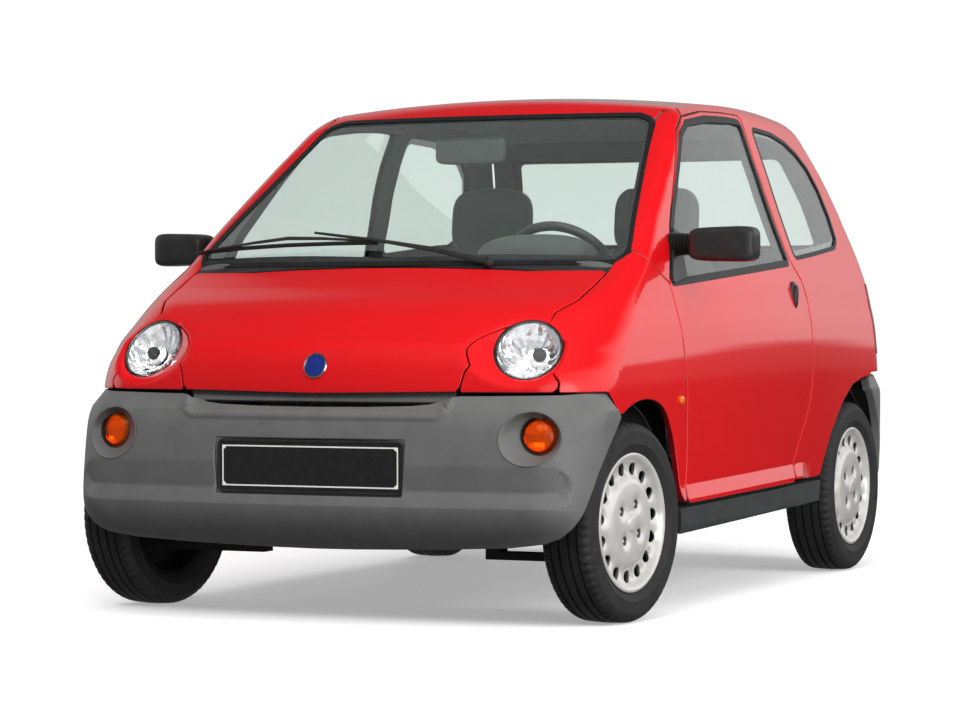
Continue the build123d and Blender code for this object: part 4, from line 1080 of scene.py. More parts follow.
# %% Closings behind the rear seams
CLOSING_LOW_Z, CLOSING_HIGH_Z = 549.0, 613.0
closing_form = under(22)
spots = np.radians(np.linspace(-58, 58, 40)) * WRAP
strip = np.concatenate(
    [np.stack([spots, 0 * spots + CLOSING_LOW_Z], 1), np.stack([spots[::-1], 0 * spots + CLOSING_HIGH_Z], 1)]
)
strip = cast(strip, "tail", closing_form)
piece = panel("tail_closing", strip, "tail", closing_form, 2, depth=7, edge=1, grid=24)
dress(piece, "shell", None, "black_plastic", UNDERSEAL, UNDERSEAL)
CHEEK_X = 562.0
cheek = [(560, 600), (1215, 600), (1215, 330), (1190, 285), (1150, 285), (1085, 340), (600, 340), (560, 380)]
cheek = np.array([(CHEEK_X, y, z) for y, z in cheek], float)
for side, sign in SIDES:
    turn = np.array((sign, 1, 1))
    piece = panel(
        f"inner_arch_{side}", cheek * turn, np.multiply(LEFT, turn),
        lambda p, sign=sign: p[..., 0] * sign - CHEEK_X, 20, depth=5, edge=1, grid=60,
    )
    dress(piece, "shell", None, "black_plastic", UNDERSEAL, UNDERSEAL)

# %% Sills
sill = side_places([(-577, 272), (560, 290), (548, 226), (-572, 200)], painted)
SILL_INSET, SILL_LEAN_Z, SILL_LEAN = 3.0, 225.0, 0.3  # below a height the cover leans inwards
for side, sign in SIDES:
    turn = (sign, 1, 1)
    piece = panel(
        f"sill_cover_{side}", sill * turn, np.multiply(LEFT, turn),
        lambda p: body(p) + SILL_INSET + np.maximum(SILL_LEAN_Z - p[..., 2], 0) * SILL_LEAN, 6, depth=30,
    )
    dress(piece, "shell", "sills", "black_plastic", SILL_PLASTIC, SILL_PLASTIC)

# %% [markdown]
# ## Wheels and tyres
# A tyre is turned from its section, then its tread is cut: round grooves that shed water, and
# short slots across each shoulder. The wheel trim is one more panel, laid on a turned form,
# with fifteen round holes and four bolt recesses. The front wheels stand a little turned, so
# every wheel gets its own centre and axis.

# %% Turning a section round an axis
def turned(name, section, centre, out, steps=64, change=None):
    """A round piece from (radius, height along the axis) points; change moves single points."""
    across, up, out = flat_axes(out)
    rings = []
    for i in range(steps):
        t = 2 * math.pi * i / steps
        way = across * math.cos(t) + up * math.sin(t)
        points = [change(i, r, h) if change else (r, h) for r, h in section]
        rings.append([np.asarray(centre) + way * r + out * h for r, h in points])
    n = len(section)
    faces = [
        (i * n + j, (i + 1) % steps * n + j, (i + 1) % steps * n + j + 1, i * n + j + 1)
        for i in range(steps)
        for j in range(n - 1)
    ]
    piece = new_piece(name, np.array(rings).reshape(-1, 3), faces)
    tidy_mesh(piece)
    return piece


HARD_EDGE = math.radians(38)


def tidy_mesh(piece):
    """Weld doubled points, point the faces outwards and keep hard edges hard."""
    mesh = bmesh.new()
    mesh.from_mesh(piece.data)
    bmesh.ops.remove_doubles(mesh, verts=mesh.verts, dist=1e-6)
    bmesh.ops.recalc_face_normals(mesh, faces=mesh.faces)
    mesh.to_mesh(piece.data)
    mesh.free()
    piece.data.set_sharp_from_angle(angle=HARD_EDGE)


# %% Rubber and wheel metals
TYRE_RUBBER = finish(
    "black_tyre_rubber", (0.026, 0.026, 0.026), (0.017, 0.017, 0.0175), 35, (0.5, 0.68), 0.35, 1.5,
)
SILVER_WHEEL = finish(
    "silver_wheel_lacquer", (0.78, 0.77, 0.74), (0.68, 0.67, 0.65), 50, (0.26, 0.34), 0.08, 0.7,
    Metallic=0.45, Coat_Weight=0.5, Coat_Roughness=0.08,
)
DARK_METAL = finish(
    "dark_cast_metal", (0.03, 0.03, 0.03), (0.012, 0.012, 0.012), 20, (0.5, 0.7), 0.4, 2.0, Metallic=0.5,
)

# %% Tyre section and tread
# half of the section, from the inner bead to the tread's middle: radius, place along the axis
TYRE_SECTION = [
    (178, -54), (176, -57), (184, -63), (197, -70.5), (199, -71.5), (201, -71), (213, -72.5),
    (227, -70.5), (231, -70.8), (234, -69.3), (242, -64.5), (247, -60), (250.5, -54), (252, -48),
    (252.4, -41), (246, -40.5), (246, -36), (252.8, -35.5),
    (253.6, -17), (247, -16.5), (247, -11), (254, -10.5),
]
section = TYRE_SECTION + [(r, -h) for r, h in TYRE_SECTION[::-1]]
TREAD_STEPS = 264
SLOT_DEEP, SLOT_EVERY = 4.0, 4
CUT_DEEP, CUT_EVERY = 1.6, 6


def shoulder_slots(i, r, h):
    """Short slots across the shoulders, and fine cuts in the middle ribs."""
    if 43 < abs(h) < 66 and r > 240 and i % SLOT_EVERY == 0:
        return r - SLOT_DEEP, h
    if 17 < abs(h) < 40 and r > 251 and (i + int(h > 0) * 3) % CUT_EVERY == 0:
        return r - CUT_DEEP, h
    return r, h


# %% Wheel trims, rims and tyres
# the trim's section: radius, height over the wheel's middle
TRIM_TABLE = np.array(
    [
        (0, 62), (24, 61.5), (29, 60), (60, 60), (100, 58), (112, 54), (120, 50), (128, 47.5),
        (146, 48), (154, 51), (160, 57), (166, 62), (172, 63.5), (179, 60),
    ],
    float,
)
TRIM_RADIUS, TRIM_SEAT = 178.0, 50.0
HOLES, HOLE_RADIUS, HOLE_CIRCLE, HOLE_TURN = 15, 14.5, 137.0, 0.1
DISH_DEEP, DISH_WIDE = 9.0, 17.0  # each hole lies in its own small dish
BOLTS, BOLT_RADIUS, BOLT_CIRCLE, BOLT_TURN = 4, 11.0, 54.0, math.pi / 4 + 0.2
RIM_SECTION = [
    (18, 20), (100, 22), (150, 16), (160, -20), (166, -52), (178, -56), (178, -50), (172, -45),
    (168, 30), (176, 52),
]
CAP_SECTION = [(0, 67), (14, 66.6), (21, 65), (24, 62), (24, 56)]
BOLT_SECTION = [(0, 8), (5, 8), (7.5, 5), (8, -12)]
STEER = math.radians(-6.3)  # the front wheels stand a little turned
KINGPIN_X, FRONT_AXLE_Y, REAR_AXLE_Y, WHEEL_X, AXLE_Z = 600.0, -890.0, 875.0, 664.0, 254.0
for side, sign in SIDES:
    for end in ("front", "rear"):
        name = f"{end}_{side}"
        if end == "front":
            out = np.array([sign * math.cos(STEER), sign * math.sin(STEER), 0])
            centre = np.array([sign * KINGPIN_X, FRONT_AXLE_Y, AXLE_Z]) + out * (WHEEL_X - KINGPIN_X)
        else:
            out = np.array([sign, 0.0, 0.0])
            centre = np.array([sign * WHEEL_X, REAR_AXLE_Y, AXLE_Z])
        wheel_body = f"{name}_wheel"
        tyre = turned(f"{name}_tyre", section, centre, out, TREAD_STEPS, shoulder_slots)
        dress(tyre, wheel_body, f"tyre_{name}", "tyre_rubber", TYRE_RUBBER)

        holes, dishes = [], []
        across, up, _ = flat_axes(out)

        def trim_form(p, centre=centre, out=out, dishes=dishes):
            """Distance over the trim's turned face, with a soft dish round every hole."""
            d = p - centre
            h = d @ out
            r = np.sqrt(np.maximum(np.sum(d * d, -1) - h * h, 0))
            level = d - h[..., None] * out
            deep = sum(DISH_DEEP * np.exp(-np.sum((level - at) ** 2, -1) / DISH_WIDE**2) for at in dishes)
            return h - monotone(TRIM_TABLE, r)[..., 0] + deep

        seat = centre + out * TRIM_SEAT
        for count, radius, circle, turn_by in (
            (HOLES, HOLE_RADIUS, HOLE_CIRCLE, HOLE_TURN), (BOLTS, BOLT_RADIUS, BOLT_CIRCLE, BOLT_TURN)
        ):
            for i in range(count):
                t = turn_by + 2 * math.pi * i / count
                at = seat + circle * (across * math.cos(t) + up * math.sin(t))
                holes.append((circle_at(at, radius, out, 20), 1, 0))
                dishes.append(at - centre - out * TRIM_SEAT)
        trim_border = circle_at(seat, TRIM_RADIUS, out, 72)
        trim = panel(f"{name}_trim", trim_border, out, trim_form, 1, holes, 12, 2.4, 6, 0)
        dress(trim, wheel_body, f"wheel_{name}", "silver_wheel", SILVER_WHEEL, SILVER_WHEEL)
        rim = turned(f"{name}_rim", RIM_SECTION, centre, out, 72)
        dress(rim, wheel_body, None, "silver_wheel", DARK_METAL)
        cap = turned(f"{name}_cap", CAP_SECTION, centre, out, 40)
        dress(cap, wheel_body, None, "silver_wheel", SILVER_WHEEL)
        for i in range(BOLTS):
            t = BOLT_TURN + 2 * math.pi * i / BOLTS
            at = centre + out * 42 + BOLT_CIRCLE * (across * math.cos(t) + up * math.sin(t))
            bolt = turned(f"{name}_bolt_{i + 1}", BOLT_SECTION, at, out, 6)
            dress(bolt, wheel_body, None, "silver_wheel", SILVER_WHEEL)

# %% [markdown]
# ## Lamps
# A headlamp is a clear dome in front of a silvered bowl whose many facets break up what they
# mirror. A round cap hides the bulb. The bowl is real geometry: each facet is tipped a little
# by a seeded draw, which gives the broken sparkle that a smooth bowl never has.

# %% Headlamps
REFLECTOR = finish(
    "silvered_reflector", (0.62, 0.62, 0.62), (0.5, 0.5, 0.52), 9, (0.08, 0.16), 0.1, 4.0, Metallic=1.0,
)
CHROME = finish(
    "bright_chrome", (0.85, 0.85, 0.86), (0.75, 0.75, 0.77), 30, (0.06, 0.12), 0.03, 1.0, Metallic=1.0,
)
random.seed(24)
# each section: radius, height over the lamp's middle
DOME = [(r, 2 + 9 * (1 - (r / 84) ** 2)) for r in (0, 12, 24, 36, 48, 60, 70, 78, 82, 84)]
LENS_SECTION = DOME + [(84.5, -6), (82, -6)] + [(r * 0.975, h - 3) for r, h in DOME[::-1]]
BOWL = [(80, -7), (76, -13), (70, -21), (62, -30), (52, -39), (41, -46), (30, -51), (18, -54), (0, -55)]
GASKET_SECTION = [(80, -8), (85, -2), (87.5, -1), (89, -6), (89, -24), (80, -24), (80, -8)]
BULB_CAP_SECTION = [(0, -19), (9, -20), (15, -24), (17, -30), (17, -52)]
BULB_SEAT_SECTION = [(17, -40), (26, -44), (29, -50)]
FACETS, FACET_WOBBLE, FLUTE_DEEP = 36, 1.6, 1.5
for side, sign in SIDES:
    out = LAMP_OUT * (sign, 1, 1)
    centre = LAMP * (sign, 1, 1)
    across, up, _ = flat_axes(out)
    lens = turned(f"headlamp_lens_{side}", LENS_SECTION, centre, out, 96)
    dress(lens, "shell", "headlamps", "clear_lens", CLEAR_LENS)
    wobble = [[random.uniform(-FACET_WOBBLE, FACET_WOBBLE) for _ in BOWL] for _ in range(FACETS)]

    def facet(i, r, h, wobble=wobble):
        """Tip each facet of the bowl a little, save at its rim and round the bulb."""
        k = BOWL.index((r, h))
        flute = (FLUTE_DEEP if i % 2 else -FLUTE_DEEP) * min(1, r / 60)
        return r, h + (wobble[i][k] + flute if 0 < k < len(BOWL) - 2 else 0)

    mirror = turned(f"headlamp_reflector_{side}", BOWL, centre, out, FACETS, facet)
    mirror.data.shade_flat()
    dress(mirror, "shell", None, "clear_lens", REFLECTOR)
    gasket = turned(f"headlamp_gasket_{side}", GASKET_SECTION, centre, out, 96)
    dress(gasket, "shell", None, "black_plastic", SEAL_RUBBER)
    at = centre + across * 22 * sign + up * 4
    cap = turned(f"headlamp_bulb_cap_{side}", BULB_CAP_SECTION, at, out, 32)
    dress(cap, "shell", None, "clear_lens", DARK_METAL)
    bulb_seat = turned(f"headlamp_bulb_seat_{side}", BULB_SEAT_SECTION, at, out, 32)
    dress(bulb_seat, "shell", None, "clear_lens", CHROME)

# %% Amber and red lenses, and soft-cornered blocks
AMBER_GLASS = finish(
    "amber_clear_lens", (0.95, 0.27, 0.015), (0.9, 0.2, 0.01), 14, (0.06, 0.12), 0.5, 5.0,
    Transmission_Weight=0.92, IOR=1.4,
)
AMBER_LENS = finish(
    "amber_moulded_lens", (1.0, 0.26, 0.01), (0.9, 0.2, 0.0), 20, (0.08, 0.12), 0.1, 3.0,
    Transmission_Weight=0.35, IOR=1.45, Coat_Weight=0.6,
)
RED_LENS = finish(
    "dark_red_lens", (0.16, 0.0, 0.004), (0.12, 0.0, 0.003), 14, (0.08, 0.14), 0.2, 5.0,
    Coat_Weight=1.0, Coat_Roughness=0.03,
)


def pillow(name, centre, half, power=4.0, tilt=0.0, swing=0.0, count=14, change=None):
    """A crowned block: a cube pushed out to a soft-cornered solid, in millimetres."""
    mesh = bmesh.new()
    bmesh.ops.create_cube(mesh, size=2)
    bmesh.ops.subdivide_edges(mesh, edges=mesh.edges, cuts=count, use_grid_fill=True)
    turn = Matrix.Rotation(math.radians(swing), 3, "Z") @ Matrix.Rotation(math.radians(tilt), 3, "X")
    for v in mesh.verts:
        u = np.array(v.co)
        u = u / np.sum(np.abs(u) ** power) ** (1 / power)
        if change:
            u = change(u)
        v.co = (Vector(centre) + turn @ Vector(u * half)) * MM
    data = bpy.data.meshes.new(name)
    mesh.to_mesh(data)
    mesh.free()
    piece = bpy.data.objects.new(name, data)
    bpy.context.scene.collection.objects.link(piece)
    data.shade_smooth()
    return piece


# %% Indicators, side repeaters and tail lamps
INDICATOR_PARTS = (
    (
        "lens", "indicators", "amber_lens", AMBER_GLASS,
        [(0, 12), (12, 11.4), (24, 9), (34, 5), (41, 0), (43, -6), (41, -6), (33, 1), (23, 5), (11, 8),
         (0, 9)],
    ),
    ("reflector", None, "clear_lens", REFLECTOR, [(43, -6), (34, -13), (23, -18), (11, -21), (0, -22)]),
    (
        "tube", None, "black_plastic", SEAL_RUBBER,
        [(43.5, -26), (43.5, 3), (46, 7), (50, 7), (53, 4), (53, -26)],
    ),
)
LAMP_VIEW = (0.7, 0.7, 0.12)
for side, sign in SIDES:
    out = indicator_out * (sign, 1, 1)
    centre = INDICATOR * (sign, 1, 1) - out * 6
    for part, node, slot_name, material, part_section in INDICATOR_PARTS:
        piece = turned(f"indicator_{part}_{side}", part_section, centre, out, 48)
        dress(piece, "shell", node, slot_name, material)
    repeater = pillow(f"side_repeater_{side}", (sign * 736, -588, 554), (6, 15, 11), 2.6)
    dress(repeater, "shell", None, "amber_lens", AMBER_LENS)
    turn = (sign, 1, 1)
    tail_border = np.concatenate(
        [
            on_body(row((646, 645), (646, 760), (650, 866)), REAR),
            on_body(row((1132, 866), (1128, 760), (1122, 645)), LEFT),
        ]
    )
    view = np.multiply(LAMP_VIEW, turn)
    lamp = panel(f"tail_lamp_{side}", tail_border * turn, view, under(-2.5), 12, depth=8, grid=10)
    dress(lamp, "shell", "tail_lamps", "red_lens", RED_LENS, RED_LENS)

# %% [markdown]
# ## Seats
# A seat pad is foam under stretched cloth: crowned, tightest at its edges, with sewn channels
# that pull the cloth in. Each pad is a cube pushed out to a soft-cornered solid, and its
# channels are pressed in where the seams run.

# %% Seats and headrests
SEAT_FABRIC = finish(
    "dark_grey_seat_cloth", (0.085, 0.09, 0.088), (0.05, 0.053, 0.052), 2.2, (0.85, 0.95), 0.8, 1.4,
    Sheen_Weight=0.35,
)
CHANNEL_AT, CHANNEL_WIDE, CHANNEL_DEEP, WAIST = 0.55, 0.05, 0.05, 0.05
SEAT_X = 265
# each pad: y and z of its middle, half sizes, squareness, lean in degrees, share filled with foam
SEAT_PADS = (
    ("cushion", (110, 408), (196, 215, 62), 5.0, 4, 0.8),
    ("backrest", (372, 700), (188, 54, 275), 5.0, -15, 0.8),
    ("headrest", (434, 1046), (134, 47, 106), 3.2, -6, 0.9),
)
POST_SECTION = [(0, 0), (6, 0), (6, 75), (0, 75)]


def channels(u):
    """Press the sewn channels into a pad's front, and pull its sides in between corners."""
    u = u.copy()
    press = CHANNEL_DEEP * math.exp(-(((abs(u[0]) - CHANNEL_AT) / CHANNEL_WIDE) ** 2))
    u[1] *= 1 - press
    u[2] *= 1 - press
    u[0] *= 1 - WAIST * (1 - u[2] ** 2)
    return u


for side, sign in SIDES:
    seat = f"seat_{side}"
    for name, middle, half, power, tilt, fill in SEAT_PADS:
        piece = pillow(f"{seat}_{name}", (sign * SEAT_X, *middle), half, power, tilt, 0, 22, channels)
        dress(piece, "shell", seat, "seat_fabric", SEAT_FABRIC)
    plinth = pillow(f"{seat}_plinth", (sign * SEAT_X, 110, 300), (150, 190, 60), 12, 0, 0, 6)
    dress(plinth, "shell", None, "cabin_plastic", BLACK_PLASTIC)
    for x in (245, 289):
        post = turned(f"{seat}_post_{x}", POST_SECTION, (sign * x, 425, 950), (0, 0.05, 1), 16)
        dress(post, "shell", None, "bare_steel", CHROME)

# %% [markdown]
# ## Mirrors, handles, wiper, plates and badge
# These are the small black parts that the eye goes to. The mirrors sit on ribbed bellows; on the
# real car they fold when something hits them, and here the right one stands folded back a little.
# The number plates are left blank, and the round badge is a plain blue disc in a bright ring.

# %% Door mirrors and handles
MIRROR_GLASS = finish(
    "mirror_silver", (0.8, 0.82, 0.82), (0.74, 0.76, 0.76), 200, (0.02, 0.04), 0.0, 20, Metallic=1.0,
)
MIRROR_SWING = {"left": 0.0, "right": -14.0}  # the right mirror is folded back a little
MIRROR_HINGE, BELLOWS_Z = (738, -476, 960), 962
FOOT_TAPER, TIP_TAPER = 0.1, 0.12
SAIL_BORDER = row((-556, 856), (-552, 884), (-455, 1010), (-425, 1002), (-448, 872))
# the bellows: ribs from its root to the housing, each narrower than the last
RIBS = [(12, -86)]
for i in range(8):
    h, wide = -84 + i * 9.2, 33 - 0.6 * i
    RIBS += [(wide - 6, h), (wide, h + 3.2), (wide, h + 4.6), (wide - 6, h + 7.6)]
RIBS += [(16, -8)]
for side, sign in SIDES:
    leaf = f"door_{side}_leaf"

    def taper(u, sign=sign):
        """Lower the housing towards its foot, and thin it towards its tip."""
        u = u.copy()
        u[2] *= 1 - FOOT_TAPER * (1 - u[0] * sign) / 2
        u[1] *= 1 - TIP_TAPER * (u[0] * sign + 1) / 2
        return u

    swing = MIRROR_SWING[side]
    fold = Matrix.Rotation(math.radians(swing), 3, "Z")
    hinge_x, hinge_y, hinge_z = MIRROR_HINGE
    hinge = Vector((sign * hinge_x, hinge_y, hinge_z))
    at = hinge + fold @ Vector((sign * 80, -9, 1))
    shell_piece = pillow(f"mirror_shell_{side}", at, (91, 46, 48), 5.5, 0, swing, 24, taper)
    dress(shell_piece, leaf, f"door_mirror_{side}", "black_plastic", BLACK_PLASTIC)
    at = hinge + fold @ Vector((sign * 82, 35, 0))
    glass_piece = pillow(f"mirror_glass_{side}", at, (78, 3, 37), 5, 0, swing, 14)
    dress(glass_piece, leaf, None, "bare_steel", MIRROR_GLASS)
    root = (sign * hinge_x, hinge_y, BELLOWS_Z)
    bellows = turned(f"mirror_bellows_{side}", RIBS, root, (sign, 0, 0), 40)
    dress(bellows, leaf, None, "black_plastic", SEAL_RUBBER)
    sail = on_body(SAIL_BORDER, LEFT) * (sign, 1, 1)
    foot = panel(f"mirror_sail_{side}", sail, (sign, 0, 0), under(-6), 8, depth=18, edge=3)
    dress(foot, leaf, None, "black_plastic", BLACK_PLASTIC, BLACK_PLASTIC)
    dish_piece = pillow(f"handle_dish_{side}", (sign * 703, 392, 822), (11, 29, 46), 2.4, 0, 0, 16)
    dress(dish_piece, leaf, None, "black_plastic", BLACK_PLASTIC)
    lever = pillow(f"handle_lever_{side}", (sign * 714, 388, 824), (7, 12, 34), 3, -8, 0, 12)
    dress(lever, leaf, None, "black_plastic", BLACK_PLASTIC)

# %% Dashboard and inside mirror
for name, node, centre, half, power, cuts in (
    ("dashboard_top", "dashboard", (0, -655, 818), (630, 118, 104), 9, 24),
    ("instrument_hood", None, (330, -596, 922), (168, 74, 66), 2.5, 20),
    ("inside_mirror", "interior_mirror", (0, -298, 1229), (104, 13, 38), 6, 16),
):
    dress(pillow(name, centre, half, power, 0, 0, cuts), "shell", node, "cabin_plastic", TRIM_GREY)

# %% Wiper
BAR_LIFT, BAR_STEPS = np.array([0, -0.6, 0.8]), 10


def bar(name, points, half_wide, half_high):
    """A rigid bar along points, with an oval section; widths may be given for each point."""
    points = np.array(points, float)
    wide = np.broadcast_to(half_wide, len(points))
    high = np.broadcast_to(half_high, len(points))
    ahead = np.gradient(points, axis=0)
    ahead /= np.linalg.norm(ahead, axis=1)[:, None]
    side = np.cross(ahead, BAR_LIFT)
    side /= np.linalg.norm(side, axis=1)[:, None]
    top = np.cross(side, ahead)
    rings = [
        p + s * w * math.cos(t) + u * h * math.sin(t)
        for p, s, u, w, h in zip(points, side, top, wide, high)
        for t in np.linspace(0, 2 * math.pi, BAR_STEPS, endpoint=False)
    ]
    n = BAR_STEPS
    faces = [
        (i * n + j, i * n + (j + 1) % n, (i + 1) * n + (j + 1) % n, (i + 1) * n + j)
        for i in range(len(points) - 1)
        for j in range(n)
    ]
    faces += [tuple(range(n))[::-1], tuple(range(len(rings) - n, len(rings)))]
    piece = new_piece(name, rings, faces)
    tidy_mesh(piece)
    return dress(piece, "shell", None, "black_plastic", BLACK_PLASTIC)


SCREEN_OUT = np.array([0.0, -0.83, 0.56])
PIVOT = (287, 908)
BLADE = ((-640, 940, 13), (-500, 951, 13), (-350, 958, 13), (-200, 961, 13), (-60, 962, 13))
SPINE = ((-610, 943, 19), (-450, 958, 27), (-340, 966, 32), (-230, 967, 27), (-90, 964, 19))
PIVOT_CAP = [(0, 14), (9, 13), (13, 8), (14, -6)]


def on_screen(x, z, lift):
    """A place over the windscreen, a given height off the glass."""
    return on_body(row((x, z)), FRONT)[0] + SCREEN_OUT * lift


pivot = on_screen(*PIVOT, 16)
arm_end = on_screen(-268, 984, 26)
elbow = pivot * 0.7 + arm_end * 0.3 + (0, -8, 8)
wrist = pivot * 0.4 + arm_end * 0.6 + (0, -7, 8)
bar("wiper_arm", [pivot, elbow, wrist, arm_end], (11, 9, 6, 4), (5, 5, 4, 3))
bar("wiper_blade", [on_screen(*place) for place in BLADE], 5, 6)
bar("wiper_spine", [on_screen(*place) for place in SPINE], (3, 6, 8, 6, 3), 3)
nut = turned("wiper_pivot_cap", PIVOT_CAP, on_screen(*PIVOT, 8), SCREEN_OUT, 24)
dress(nut, "shell", None, "black_plastic", BLACK_PLASTIC)

# %% Number plates and badge
PLATE_BLACK = finish(
    "black_plate_sheet", (0.02, 0.02, 0.021), (0.014, 0.014, 0.015), 30, (0.22, 0.3), 0.1, 1.0,
)
WHITE_LINE = finish(
    "white_plate_line", (0.85, 0.85, 0.83), (0.78, 0.78, 0.77), 20, (0.3, 0.4), 0.1, 1.0,
)
BLUE_ENAMEL = finish(
    "blue_badge_enamel", (0.01, 0.03, 0.22), (0.008, 0.02, 0.16), 12, (0.06, 0.1), 0.02, 1.0,
    Coat_Weight=1.0,
)
PLATE_WIDE, PLATE_HIGH, PLATE_DEEP = 510.0, 118.0, 7.9
LINE_PROUD, FRAME_SUNK = 0.35, 0.5
BADGE_PARTS = (
    ("ring", CHROME, [(32.5, -2), (32.5, 2.6), (30.5, 4.2), (28, 3.2), (27.5, 1)]),
    ("disc", BLUE_ENAMEL, [(0, 3.0), (14, 2.8), (24, 2.0), (28, 1.2)]),
)
for name, view, way, x, z, seat_y in (
    ("front", FRONT, -1, FRONT_PLATE_X, FRONT_PLATE_Z, FRONT_SEAT_Y),
    ("rear", REAR, 1, 0.0, REAR_PLATE_Z, REAR_SEAT_Y),
):
    plate_y = seat_y + PLATE_DEEP
    corners = np.array(
        [(x + a * PLATE_WIDE / 2, way * plate_y, z + b * PLATE_HIGH / 2) for a, b in CORNER_SIGNS]
    )

    def face(p, way=way, plate_y=plate_y):
        """Distance ahead of the plate's own level."""
        return p[..., 1] * way - plate_y

    plate = panel(f"{name}_plate", corners, view, face, 8, depth=7.5, edge=0.8, grid=60, gap=0)
    dress(plate, "shell", "number_plates", "plate_black", PLATE_BLACK, PLATE_BLACK)
    line = panel(
        f"{name}_plate_line", corners, view, lambda p, face=face: face(p) - LINE_PROUD, 8,
        holes=[(corners, 8, -11)], depth=0.6, edge=0.2, grid=60, gap=7.5,
    )
    dress(line, "shell", None, "plate_black", WHITE_LINE, WHITE_LINE)
    plate_frame = panel(
        f"{name}_plate_frame", corners, view, lambda p, face=face: face(p) + FRAME_SUNK, 10,
        holes=[(corners, 8, 0.5)], depth=7, edge=1.5, grid=60, gap=-8,
    )
    dress(plate_frame, "shell", None, "black_plastic", BLACK_PLASTIC, BLACK_PLASTIC)
badge_at = on_body(row((0, 652)), FRONT)
badge_out = normal_at(badge_at, body)[0]
for part, material, badge_section in BADGE_PARTS:
    badge = turned(f"badge_{part}", badge_section, badge_at[0], badge_out, 64)
    dress(badge, "bonnet_lid", None, "bare_steel", material)

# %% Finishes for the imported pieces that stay
PLAIN_NODES = {
    "engine": ENGINE_ALLOY, "front_subframe": UNDERSEAL, "front_suspension": UNDERSEAL,
    "rear_axle": BARE_STEEL, "exhaust": BARE_STEEL, "knuckle_left": BARE_STEEL,
    "knuckle_right": BARE_STEEL, "arch_liners": BLACK_PLASTIC, "floor_pan": UNDERSEAL,
    "steering_wheel": BLACK_PLASTIC, "steering_column": BLACK_PLASTIC,
}

# %% [markdown]
# ## Floor, light and camera
# The car stands on a white floor in a white studio. The room is bright at the horizon and
# darker overhead, where large soft lamps hang: glossy paint then keeps its deep colour on top
# and picks up one soft pale band along its sides, which shows their shape.

# %% Floor
floor_mesh = bpy.data.meshes.new("studio_floor")
FLOOR_RADIUS, FLOOR_SIDES = 80.0, 96
turns = np.linspace(0, 2 * math.pi, FLOOR_SIDES, endpoint=False)
floor_border = [(FLOOR_RADIUS * math.cos(t), FLOOR_RADIUS * math.sin(t), 0) for t in turns]
floor_mesh.from_pydata(floor_border, [], [tuple(range(FLOOR_SIDES))])
floor = bpy.data.objects.new("studio_floor", floor_mesh)
bpy.context.scene.collection.objects.link(floor)
FLOOR_WHITE = finish(
    "white_studio_floor", (0.93, 0.93, 0.93), (0.91, 0.91, 0.91), 400, (0.5, 0.6), 0.02, 4.0,
    Emission_Color=(1, 1, 1, 1), Emission_Strength=0.34,
)
floor_mesh.materials.append(FLOOR_WHITE)
# the floor isn't a lamp: the room lights the car
floor.visible_diffuse = floor.visible_glossy = False

# %% Studio room
BACK_SIDE = (-0.41, 0.91, 0.0)  # behind the car
FRONT_SIDE = (-0.5, -0.86, 0.1)  # the unlit part of the room, in front of the car's right corner
CORNER_LIGHT = (0.8, -0.59, 0.1)  # a tall soft lamp beyond the car's left front corner
DARK_SIDE = (0.42, 0.9, 0.0)  # beyond the car's left rear corner
world = bpy.data.worlds.new("white_studio")
bpy.context.scene.world = world
world.use_nodes = True
nodes, links = world.node_tree.nodes, world.node_tree.links
room = nodes.new("ShaderNodeTexCoord")


def ramp(value, position, colours):
    """Colours that change between two places of a value."""
    node = nodes.new("ShaderNodeValToRGB")
    for stop, at, colour in zip(node.color_ramp.elements, position, colours):
        stop.position, stop.color = at, (*colour, 1)
    links.new(value, node.inputs["Fac"])
    return node.outputs[0]


def plain(level):
    """One grey, all over."""
    node = nodes.new("ShaderNodeRGB")
    node.outputs[0].default_value = (level, level, level, 1)
    return node.outputs[0]


def facing(direction, first, last):
    """How far the room's direction points towards another, as a value from 0 to 1."""
    toward = nodes.new("ShaderNodeVectorMath")
    toward.operation = "DOT_PRODUCT"
    toward.inputs[1].default_value = direction
    links.new(room.outputs["Generated"], toward.inputs[0])
    return ramp(toward.outputs["Value"], (first, last), ((0, 0, 0), (1, 1, 1)))


def blended(kind, share, first, second):
    """Mix two colours of the room."""
    mix = nodes.new("ShaderNodeMix")
    mix.data_type, mix.blend_type = "RGBA", kind
    for socket, value in ((0, share), (6, first), (7, second)):
        links.new(value, mix.inputs[socket])
    return mix.outputs[2]


parts = nodes.new("ShaderNodeSeparateXYZ")
links.new(room.outputs["Generated"], parts.inputs["Vector"])
high = parts.outputs["Z"]
height = ramp(high, (0.3, 0.62), ((0.78, 0.78, 0.78), (0.05, 0.05, 0.052)))
horizon = ramp(high, (0.044, 0.054), ((0.07, 0.07, 0.07), (1, 1, 1)))
ground = ramp(high, (0.0, 0.015), ((0.2, 0.2, 0.2), (1, 1, 1)))
all_round = nodes.new("ShaderNodeValue")
all_round.outputs[0].default_value = 1.0
studio = blended("MULTIPLY", all_round.outputs[0], height, ground)
# a dark screen stands low on the car's left, so its side shows a horizon
studio = blended("MULTIPLY", facing(DARK_SIDE, 0.86, 0.93), studio, horizon)
studio = blended("MIX", facing(FRONT_SIDE, 0.66, 0.8), studio, plain(0.1))
studio = blended("MIX", facing(BACK_SIDE, 0.75, 0.95), studio, plain(0.35))
studio = blended("MIX", facing(CORNER_LIGHT, 0.93, 0.98), studio, plain(2.3))
# what is seen directly, or through glass, is the plain white paper behind the car
path = nodes.new("ShaderNodeLightPath")
seen = nodes.new("ShaderNodeMath")
seen.operation = "MAXIMUM"
links.new(path.outputs["Is Camera Ray"], seen.inputs[0])
links.new(path.outputs["Is Transmission Ray"], seen.inputs[1])
links.new(blended("MIX", seen.outputs[0], studio, plain(1.05)), nodes["Background"].inputs["Color"])


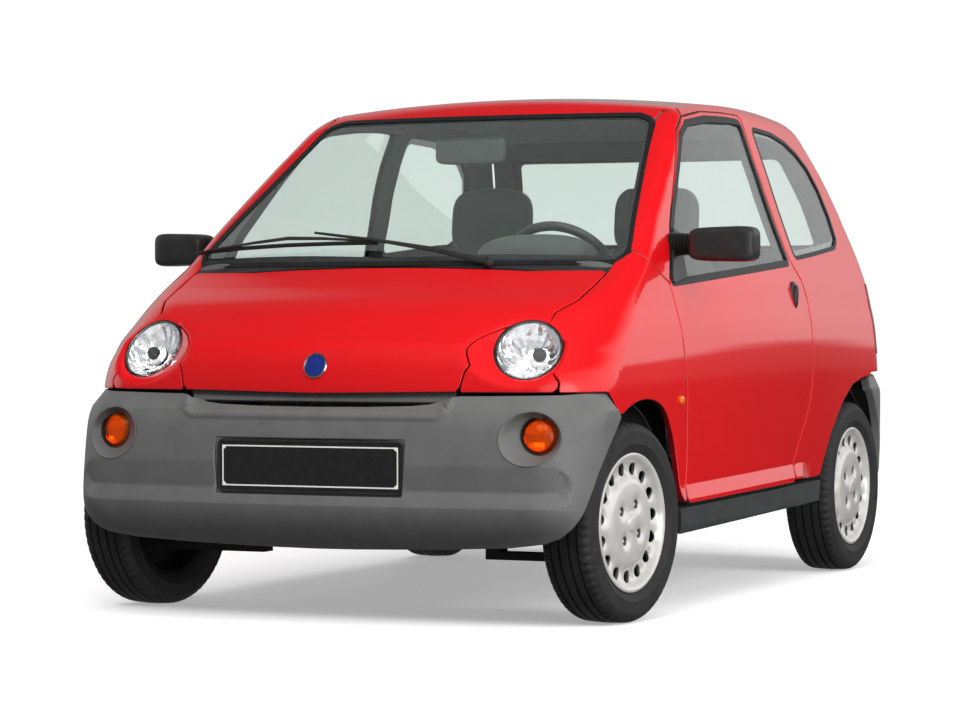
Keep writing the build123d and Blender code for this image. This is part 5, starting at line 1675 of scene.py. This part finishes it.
# %% Soft lamps
def hang(name, kind, energy):
    """A lamp that isn't mirrored in the paint: it only fills."""
    data = bpy.data.lights.new(name, kind)
    data.energy = energy
    lamp = bpy.data.objects.new(name, data)
    bpy.context.scene.collection.objects.link(lamp)
    lamp.visible_glossy = False
    return lamp


def softbox(name, place, target, size, power):
    """A soft lamp that faces a point, in metres and watts."""
    lamp = hang(name, "AREA", power)
    lamp.data.shape, lamp.data.size, lamp.data.size_y = "RECTANGLE", *size
    lamp.location = place
    lamp.rotation_euler = (Vector(target) - Vector(place)).to_track_quat("-Z", "Y").to_euler()


sky = hang("even_ceiling_light", "SUN", 2.2)
sky.data.angle = math.radians(75)
sky.rotation_euler = (math.radians(22), 0, math.radians(25))
softbox("front_softbox", (0.5, -5.5, 4.4), (0, -0.8, 0.5), (4.0, 2.0), 150)
softbox("side_softbox", (6.5, -1.5, 2.6), (0, 0, 0.6), (4.0, 3.0), 330)

# %% Camera
LENS_PIXELS, FRAME_PIXELS = 3217.42, 960
AZIMUTH, ELEVATION, ROLL = math.radians(24.53), math.radians(1.03), math.radians(-0.15)
back = Vector(
    (math.sin(AZIMUTH) * math.cos(ELEVATION), -math.cos(AZIMUTH) * math.cos(ELEVATION), math.sin(ELEVATION))
)
level = Vector((math.cos(AZIMUTH), math.sin(AZIMUTH), 0))
above = back.cross(level)
right = level * math.cos(ROLL) + above * math.sin(ROLL)
up = above * math.cos(ROLL) - level * math.sin(ROLL)
lens = bpy.data.cameras.new("studio_camera")
lens.sensor_width = 36.0
lens.lens = LENS_PIXELS * lens.sensor_width / FRAME_PIXELS
lens.shift_x, lens.shift_y = 0.0005, 0.001
lens.clip_end = 200
camera = bpy.data.objects.new("studio_camera", lens)
bpy.context.scene.collection.objects.link(camera)
stand = Matrix((right, up, back)).transposed().to_4x4()
stand.translation = Vector((3.73501, -8.42733, 0.80792))
camera.matrix_world = stand
bpy.context.scene.camera = camera
bpy.context.scene.view_settings.view_transform = "Standard"

# %% Finish
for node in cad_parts.values():
    if not node.data.materials or node.data.materials[0] is None or node.name in PLAIN_NODES:
        node.data.materials.clear()
        node.data.materials.append(PLAIN_NODES.get(node.name, UNDERSEAL))
